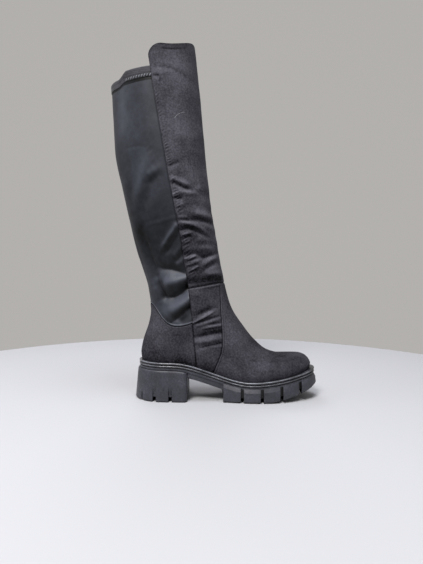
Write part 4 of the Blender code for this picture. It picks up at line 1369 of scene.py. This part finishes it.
def add_waist(shape):
    """The bar under the arch, from the heel's front face to the lugs."""
    rings = []
    turns = np.linspace(0.0, math.pi / 2.0, WAIST_EDGE_STEPS)
    corner = [(WAIST_EDGE * (1.0 - math.cos(turn)), WAIST_EDGE * (1.0 - math.sin(turn))) for turn in turns]
    for x in np.linspace(HEEL_FRONT + GAP, LUG_START + LUG_LAP, WAIST_RINGS):
        outer, inner = (float(sides_at(np.array([x]), WAIST_OUT, side)[0]) for side in (-1.0, 1.0))
        top, low = feather_z(x) - WAIST_TOP_DEPTH, feather_z(x) - WAIST_DEPTH
        ring = [(x, outer, top)]
        ring += [(x, outer + inset, low + lift) for inset, lift in corner]
        ring += [(x, inner - inset, low + lift) for inset, lift in corner[::-1]]
        ring.append((x, inner, top))
        rings.append(np.array(ring))
    add_loft(shape, capped(rings, len(rings[0]) - 1))


def lug_ring(start, end, out, height_at):
    """Outline of one lug: along the outer side, across, back along the inner side and across again.

    The lug at the toe has no end, and its outline runs round the toe in place of going across.
    """
    share = np.linspace(0.0, 1.0, LUG_ACROSS_STEPS + 2)[1:-1, None]
    if end is None:
        x, y = edge_points(np.linspace(0.0, 2.0, LUG_SEARCH_STEPS), out)
        kept = x > start
        run = np.stack([x[kept], y[kept]], axis=-1)
        outer_start = (start, float(sides_at(np.array([start]), out, -1.0)[0]))
        inner_start = (start, float(sides_at(np.array([start]), out, 1.0)[0]))
        run = even_steps(np.concatenate([[outer_start], run, [inner_start]]), LUG_TOE_STEPS)
    else:
        x = np.linspace(start, end, LUG_SIDE_STEPS)
        outer = np.stack([x, sides_at(x, out, -1.0)], axis=-1)
        inner = np.stack([x, sides_at(x, out, 1.0)], axis=-1)[::-1]
        run = np.concatenate([outer, mix(outer[-1], inner[0], share), inner])
    run = np.concatenate([run, mix(run[-1], run[0], share)])
    return np.concatenate([run, height_at(run[:, :1])], axis=1)


def add_lug(shape, start, end):
    levels = (
        (LUG_TOP_OUT, lambda x: feather_z(x) - LUG_TOP_DEPTH),
        (LUG_OUT, lambda x: feather_z(x) - LUG_SHOULDER_DEPTH),
        (LUG_FOOT_OUT, lambda x: tread_z(x) + LUG_CHAMFER),
        (LUG_FOOT_OUT - LUG_CHAMFER, tread_z),
    )
    rings = [lug_ring(start, end, out, height_at) for out, height_at in levels]
    opposite = LUG_TOE_STEPS - 1 if end is None else 2 * LUG_SIDE_STEPS + LUG_ACROSS_STEPS - 1
    add_loft(shape, capped(rings, opposite))


def add_lug_core(shape):
    """What shows at the back of the slots between the lugs, above the grooves."""
    start, end = LUG_START + LUG_LAP, NOTCHES[-1] + NOTCH_WIDTH
    levels = (
        lambda x: feather_z(x) - LUG_TOP_DEPTH,
        lambda x: tread_z(x) + TREAD_GROOVE,
    )
    rings = [lug_ring(start, end, PLATE_OUT, height_at) for height_at in levels]
    known = set(shape.verts)
    add_loft(shape, capped(rings, 2 * LUG_SIDE_STEPS + LUG_ACROSS_STEPS - 1))
    # The core at the back of the slots gets painted shade
    wear_and_light_layer = shape.verts.layers.float["wear"]
    for vertex in set(shape.verts) - known:
        vertex[wear_and_light_layer] = SLOT_SHADE


def make_outsole():
    shape = bmesh.new()
    half = NOTCH_WIDTH / 2.0
    starts = [LUG_START] + [notch + half for notch in NOTCHES]
    ends = [notch - half for notch in NOTCHES] + [None]
    for start, end in zip(starts, ends):
        add_lug(shape, start, end)
    groove = CENTRE_GROOVE_WIDTH / 2.0
    low, high = (NOTCHES[0], -groove, -PAST_FLOOR), (NOTCHES[-1], groove, CENTRE_GROOVE_DEPTH)
    shape = cut_box(shape, low, high)
    manifold = [edge for edge in shape.edges if edge.is_manifold]
    sharp = [edge for edge in manifold if edge.calc_face_angle() > LUG_ROUND_ANGLE]
    bmesh.ops.bevel(
        shape,
        geom=sharp,
        offset=LUG_ROUND,
        offset_type="OFFSET",
        affect="EDGES",
        segments=2,
        profile=0.5,
        material=-1,
        clamp_overlap=True,
    )
    add_plate(shape)
    add_waist(shape)
    mark_painted_light(shape, tread_painted_light)
    add_lug_core(shape)
    close_shape(shape)
    add_piece("lugged_outsole", shape, ("moulded_sole_rubber",), "outsole", SOLE_ANGLE)


def heel_outline(out):
    """The heel's outline in plan: inner side, round the back, outer side, and rounded front corners."""
    x, y = edge_points(np.linspace(1.0, 3.0, HEEL_SEARCH_STEPS), out)
    kept = x < HEEL_FRONT - HEEL_CORNER
    run = np.stack([x[kept], y[kept]], axis=-1)
    first, last = run[0], run[-1]
    inward = 1.0 if first[1] < last[1] else -1.0
    angles = np.linspace(0.0, math.pi / 2.0, HEEL_CORNER_STEPS)
    corner_x = HEEL_FRONT - HEEL_CORNER * (1.0 - np.sin(angles))
    shift = inward * HEEL_CORNER * (1.0 - np.cos(angles))
    opening = np.stack([corner_x, first[1] + shift], axis=-1)[::-1]
    closing = np.stack([corner_x, last[1] - shift], axis=-1)
    run = even_steps(np.concatenate([opening, run[1:-1], closing]), HEEL_STEPS)
    share = np.linspace(0.0, 1.0, HEEL_ACROSS + 2)[1:-1, None]
    return np.concatenate([run, mix(run[-1], run[0], share)])


def notch_depth(across, width, z, height):
    """Depth of a notch in the heel's side, flat inside and running out towards its top."""
    outside, inside = width / 2.0 + NOTCH_SOFT_OUTSIDE, width / 2.0 - NOTCH_SOFT_INSIDE
    wide = smooth_step(outside, inside, np.abs(across))
    return HEEL_NOTCH_DEPTH * wide * smooth_step(height + NOTCH_RUN_OUT, height * NOTCH_FULL_SHARE, z)


def heel_rings():
    """The heel's outline at each level, from its top down to the floor."""
    top = PLATE_DEPTH + GAP
    corner_rings = []
    for out, down in ((HEEL_TOP_OUT, top), (HEEL_SHOULDER_OUT, top + HEEL_SHOULDER)):
        plan = heel_outline(out)
        corner_rings.append(np.column_stack([plan, feather_z(plan[:, 0]) - down]))
    for out, up in ((HEEL_FOOT_OUT, HEEL_CHAMFER), (HEEL_FOOT_OUT - HEEL_CHAMFER, 0.0)):
        plan = heel_outline(out)
        corner_rings.append(np.column_stack([plan, np.full(len(plan), up)]))
    upper, shoulder, foot, tread = corner_rings
    rings = [upper, mix(shoulder, upper, EDGE_ROUND)]
    rings += [mix(shoulder, foot, share) for share in np.linspace(*HEEL_ROW_SPAN, HEEL_ROWS)]
    return rings + [mix(foot, tread, EDGE_ROUND), tread]


def notch_ring(ring):
    """A ring of the heel, sunk where the notches of its sides and back run."""
    run = np.roll(ring, -1, axis=0) - np.roll(ring, 1, axis=0)
    length = np.hypot(run[:, 0], run[:, 1])
    out = np.stack([run[:, 1], -run[:, 0], np.zeros(len(ring))], axis=-1) / length[:, None]
    beside = np.abs(out[:, 1]) > HEEL_SIDE_FACING
    depth = np.zeros(len(ring))
    for middle in HEEL_NOTCHES:
        cut = notch_depth(ring[:, 0] - middle, HEEL_NOTCH_WIDTH, ring[:, 2], HEEL_NOTCH_HEIGHT)
        depth = np.maximum(depth, np.where(beside, cut, 0.0))
    rear_x, rear_y = edge_points(np.array([REAR_NOTCH_TURN]), HEEL_FOOT_OUT)
    for side in (1.0, -1.0):
        away = np.hypot(ring[:, 0] - rear_x, ring[:, 1] - side * rear_y)
        cut = notch_depth(away, REAR_NOTCH_WIDTH, ring[:, 2], REAR_NOTCH_HEIGHT)
        depth = np.maximum(depth, cut)
    return ring - out * depth[:, None]


def make_heel():
    shape = bmesh.new()
    add_loft(shape, capped([notch_ring(ring) for ring in heel_rings()], HEEL_STEPS - 1))
    half = HEEL_NOTCH_WIDTH / 2.0
    for middle in HEEL_NOTCHES:
        low, high = (middle - half, -PAST_SIDES, -PAST_FLOOR), (middle + half, PAST_SIDES, TREAD_GROOVE)
        shape = cut_box(shape, low, high)
    mark_painted_light(shape, heel_painted_light)
    add_piece("block_heel", shape, ("moulded_sole_rubber",), "heel", SOLE_ANGLE)


make_welt()
make_outsole()
make_heel()
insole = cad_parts["insole"]
insole.data.materials.clear()
insole.data.materials.append(to_material("tricot_lining"))


# Stitches
def line_from_edge(outer, edge, inset):
    """A line on a finished panel that keeps a distance from one of its edges."""
    rows = outer if edge in ("first", "last") else np.swapaxes(outer, 0, 1)
    if edge in ("last", "high"):
        rows = rows[:, ::-1]
    return np.array([points_along(row, run_along(row, 0), inset) for row in rows])


def walk(line, pitch, span):
    """Even steps along part of a line, as points and headings."""
    lengths = run_along(line, 0)
    stops = np.arange(span[0] * lengths[-1], span[1] * lengths[-1], pitch)
    ahead = points_along(line, lengths, stops + pitch / 4.0)
    behind = points_along(line, lengths, stops - pitch / 4.0)
    return points_along(line, lengths, stops), ahead - behind


def add_stitches(shape, line, pitch, size, slant=0.0, span=STITCH_SPAN, lift=0.0):
    """Sews a row of stitches, each a small bead of thread along, across and out of the wall."""
    for point, heading in zip(*walk(line, pitch, span)):
        along = Vector(heading).normalized()
        out = Vector((0.0, point[1], 0.0))
        if abs(point[1]) <= NEAR_MIDDLE:
            out = Vector((point[0] - SHAFT_MIDDLE, 0.0, 0.0))
        out = (out - along * out.dot(along)).normalized()
        across = out.cross(along)
        turned = along * math.cos(slant) + across * math.sin(slant)
        beside = out.cross(turned)
        spot = Vector(to_origin(point)) + out * lift
        frame_of = Matrix.Identity(4)
        for column, (axis, length) in enumerate(zip((turned, beside, out), size)):
            for row in range(3):
                frame_of[row][column] = axis[row] * length
        for row in range(3):
            frame_of[row][3] = spot[row]
        bmesh.ops.create_uvsphere(shape, u_segments=8, v_segments=6, radius=0.5, matrix=frame_of)


def make_seam_stitches():
    shape = bmesh.new()
    seams = (
        (vamp, "first", VAMP_STITCH_INSET, STITCH_SPAN),
        (vamp, "last", VAMP_STITCH_INSET, STITCH_SPAN),
        (vamp, "high", LAP_STITCH_INSET, STITCH_SPAN),
        (outer_side, "high", LAP_STITCH_INSET, SIDE_STITCH_SPAN),
        (inner_side, "high", LAP_STITCH_INSET, SIDE_STITCH_SPAN),
        (heel_quarter, "high", QUARTER_STITCH_INSET, STITCH_SPAN),
    )
    for panel, edge, inset, span in seams:
        add_stitches(shape, line_from_edge(panel, edge, inset), SEAM_STITCH_PITCH, SEAM_STITCH, span=span)
    add_piece("seam_stitches", close_shape(shape), ("dark_sewing_thread",), None)


def make_band_stitches():
    shape = bmesh.new()
    line = line_from_edge(collar, "low", OVERLOCK_INSET)
    half = len(line) // 2
    for part in (line[:half], line[half:]):
        for start, end, lift in OVERLOCK_RUNS:
            run = part[(part[:, 0] > start) & (part[:, 0] < end)]
            add_stitches(shape, run, OVERLOCK_PITCH, OVERLOCK_STITCH, slant=OVERLOCK_SLANT, lift=lift)
    add_piece("overlock_stitches", close_shape(shape), ("grey_overlock_thread",), None)


def make_lint():
    """A short pale fibre caught on the nap of the front panel."""
    near_side = front_panel[front_panel[..., 1] < 0.0]
    line = []
    for x, z in LINT_PATH:
        away = np.hypot(near_side[:, 0] - x * MM, near_side[:, 2] - z * MM)
        share = bell(away, 0.0, LINT_BLEND)
        line.append(share @ near_side / share.sum())
    shape = bmesh.new()
    add_stitches(shape, np.array(line), LINT_PITCH, LINT_BEAD, span=LINT_SPAN, lift=LINT_LIFT)
    add_piece("lint_fibre", close_shape(shape), ("pale_lint_fibre",), None)


make_seam_stitches()
make_band_stitches()
make_lint()


# Floor, light and camera
FLOOR_RADIUS = 0.62
AIR_STOPS = ((0.15, "#8d8e92"), (0.75, "#cbc8c5"), (1.0, "#d0cdca"))
AIR_STRENGTH = 0.72
Lamp = namedtuple("Lamp", "name place aim size power colour")
LAMPS = (
    Lamp("key_softbox", (-0.4, -1.1, 1.45), (0.0, 0.0, 0.25), 0.6, 27.0, "#fffcf8"),
    Lamp("side_softbox", (-1.2, -0.25, 0.95), (0.0, 0.0, 0.4), 0.7, 3.0, "#f2f6ff"),
    Lamp("top_softbox", (0.1, -0.35, 1.7), (0.0, 0.0, 0.2), 0.8, 12.0, "#f4f7ff"),
    Lamp("back_softbox", (-0.3, 1.2, 1.6), (0.0, 0.0, 0.25), 1.0, 9.0, "#f8f8ff"),
)
PHOTO_WIDTH = 423.0
FOCAL_PIXELS = 475.0
HORIZON_ABOVE_MIDDLE = 12.0
SENSOR = 36.0
CAMERA_PLACE = (-0.0029, -0.7365, 0.1935)
CAMERA_TURN = (math.radians(90.0), math.radians(-0.5), 0.0)


def add_floor():
    shape = bmesh.new()
    bmesh.ops.create_circle(shape, cap_ends=True, segments=256, radius=FLOOR_RADIUS)
    mesh = bpy.data.meshes.new("studio_floor")
    shape.to_mesh(mesh)
    shape.free()
    mesh.materials.append(to_material("pale_studio_floor"))
    floor = bpy.data.objects.new("studio_floor", mesh)
    bpy.context.scene.collection.objects.link(floor)


def add_soft_light(lamp):
    light = bpy.data.lights.new(lamp.name, "AREA")
    light.shape = "DISK"
    light.size = lamp.size
    light.energy = lamp.power
    light.color = linear(lamp.colour)[:3]
    made = bpy.data.objects.new(lamp.name, light)
    made.location = lamp.place
    made.rotation_euler = (Vector(lamp.aim) - Vector(lamp.place)).to_track_quat("-Z", "Y").to_euler()
    bpy.context.scene.collection.objects.link(made)


def add_world():
    """Air that is pale behind the boot and dim in front of it, so that the folds keep their shade."""
    world = bpy.data.worlds.new("studio_air")
    world.use_nodes = True
    tree = world.node_tree
    background = tree.nodes["Background"]
    where = add_node(tree, "ShaderNodeTexCoord").outputs["Generated"]
    behind = add_node(tree, "ShaderNodeSeparateXYZ", None, {0: where}).outputs["Y"]
    span = {"From Min": -1.0, "From Max": 1.0}
    share = add_node(tree, "ShaderNodeMapRange", span, {"Value": behind}).outputs[0]
    ramp = add_node(tree, "ShaderNodeValToRGB", None, {"Fac": share})
    set_stops(ramp, AIR_STOPS)
    tree.links.new(ramp.outputs["Color"], background.inputs["Color"])
    background.inputs["Strength"].default_value = AIR_STRENGTH
    bpy.context.scene.world = world


def add_camera():
    camera = bpy.data.cameras.new("photo_camera")
    camera.sensor_fit = "HORIZONTAL"
    camera.sensor_width = SENSOR
    camera.lens = FOCAL_PIXELS * SENSOR / PHOTO_WIDTH
    camera.shift_y = -HORIZON_ABOVE_MIDDLE / PHOTO_WIDTH
    camera.clip_start = 0.01
    made = bpy.data.objects.new("photo_camera", camera)
    made.location = CAMERA_PLACE
    made.rotation_euler = CAMERA_TURN
    bpy.context.scene.collection.objects.link(made)
    bpy.context.scene.camera = made


add_floor()
add_world()
for lamp in LAMPS:
    add_soft_light(lamp)
bpy.context.scene.view_settings.view_transform = "Standard"
add_camera()
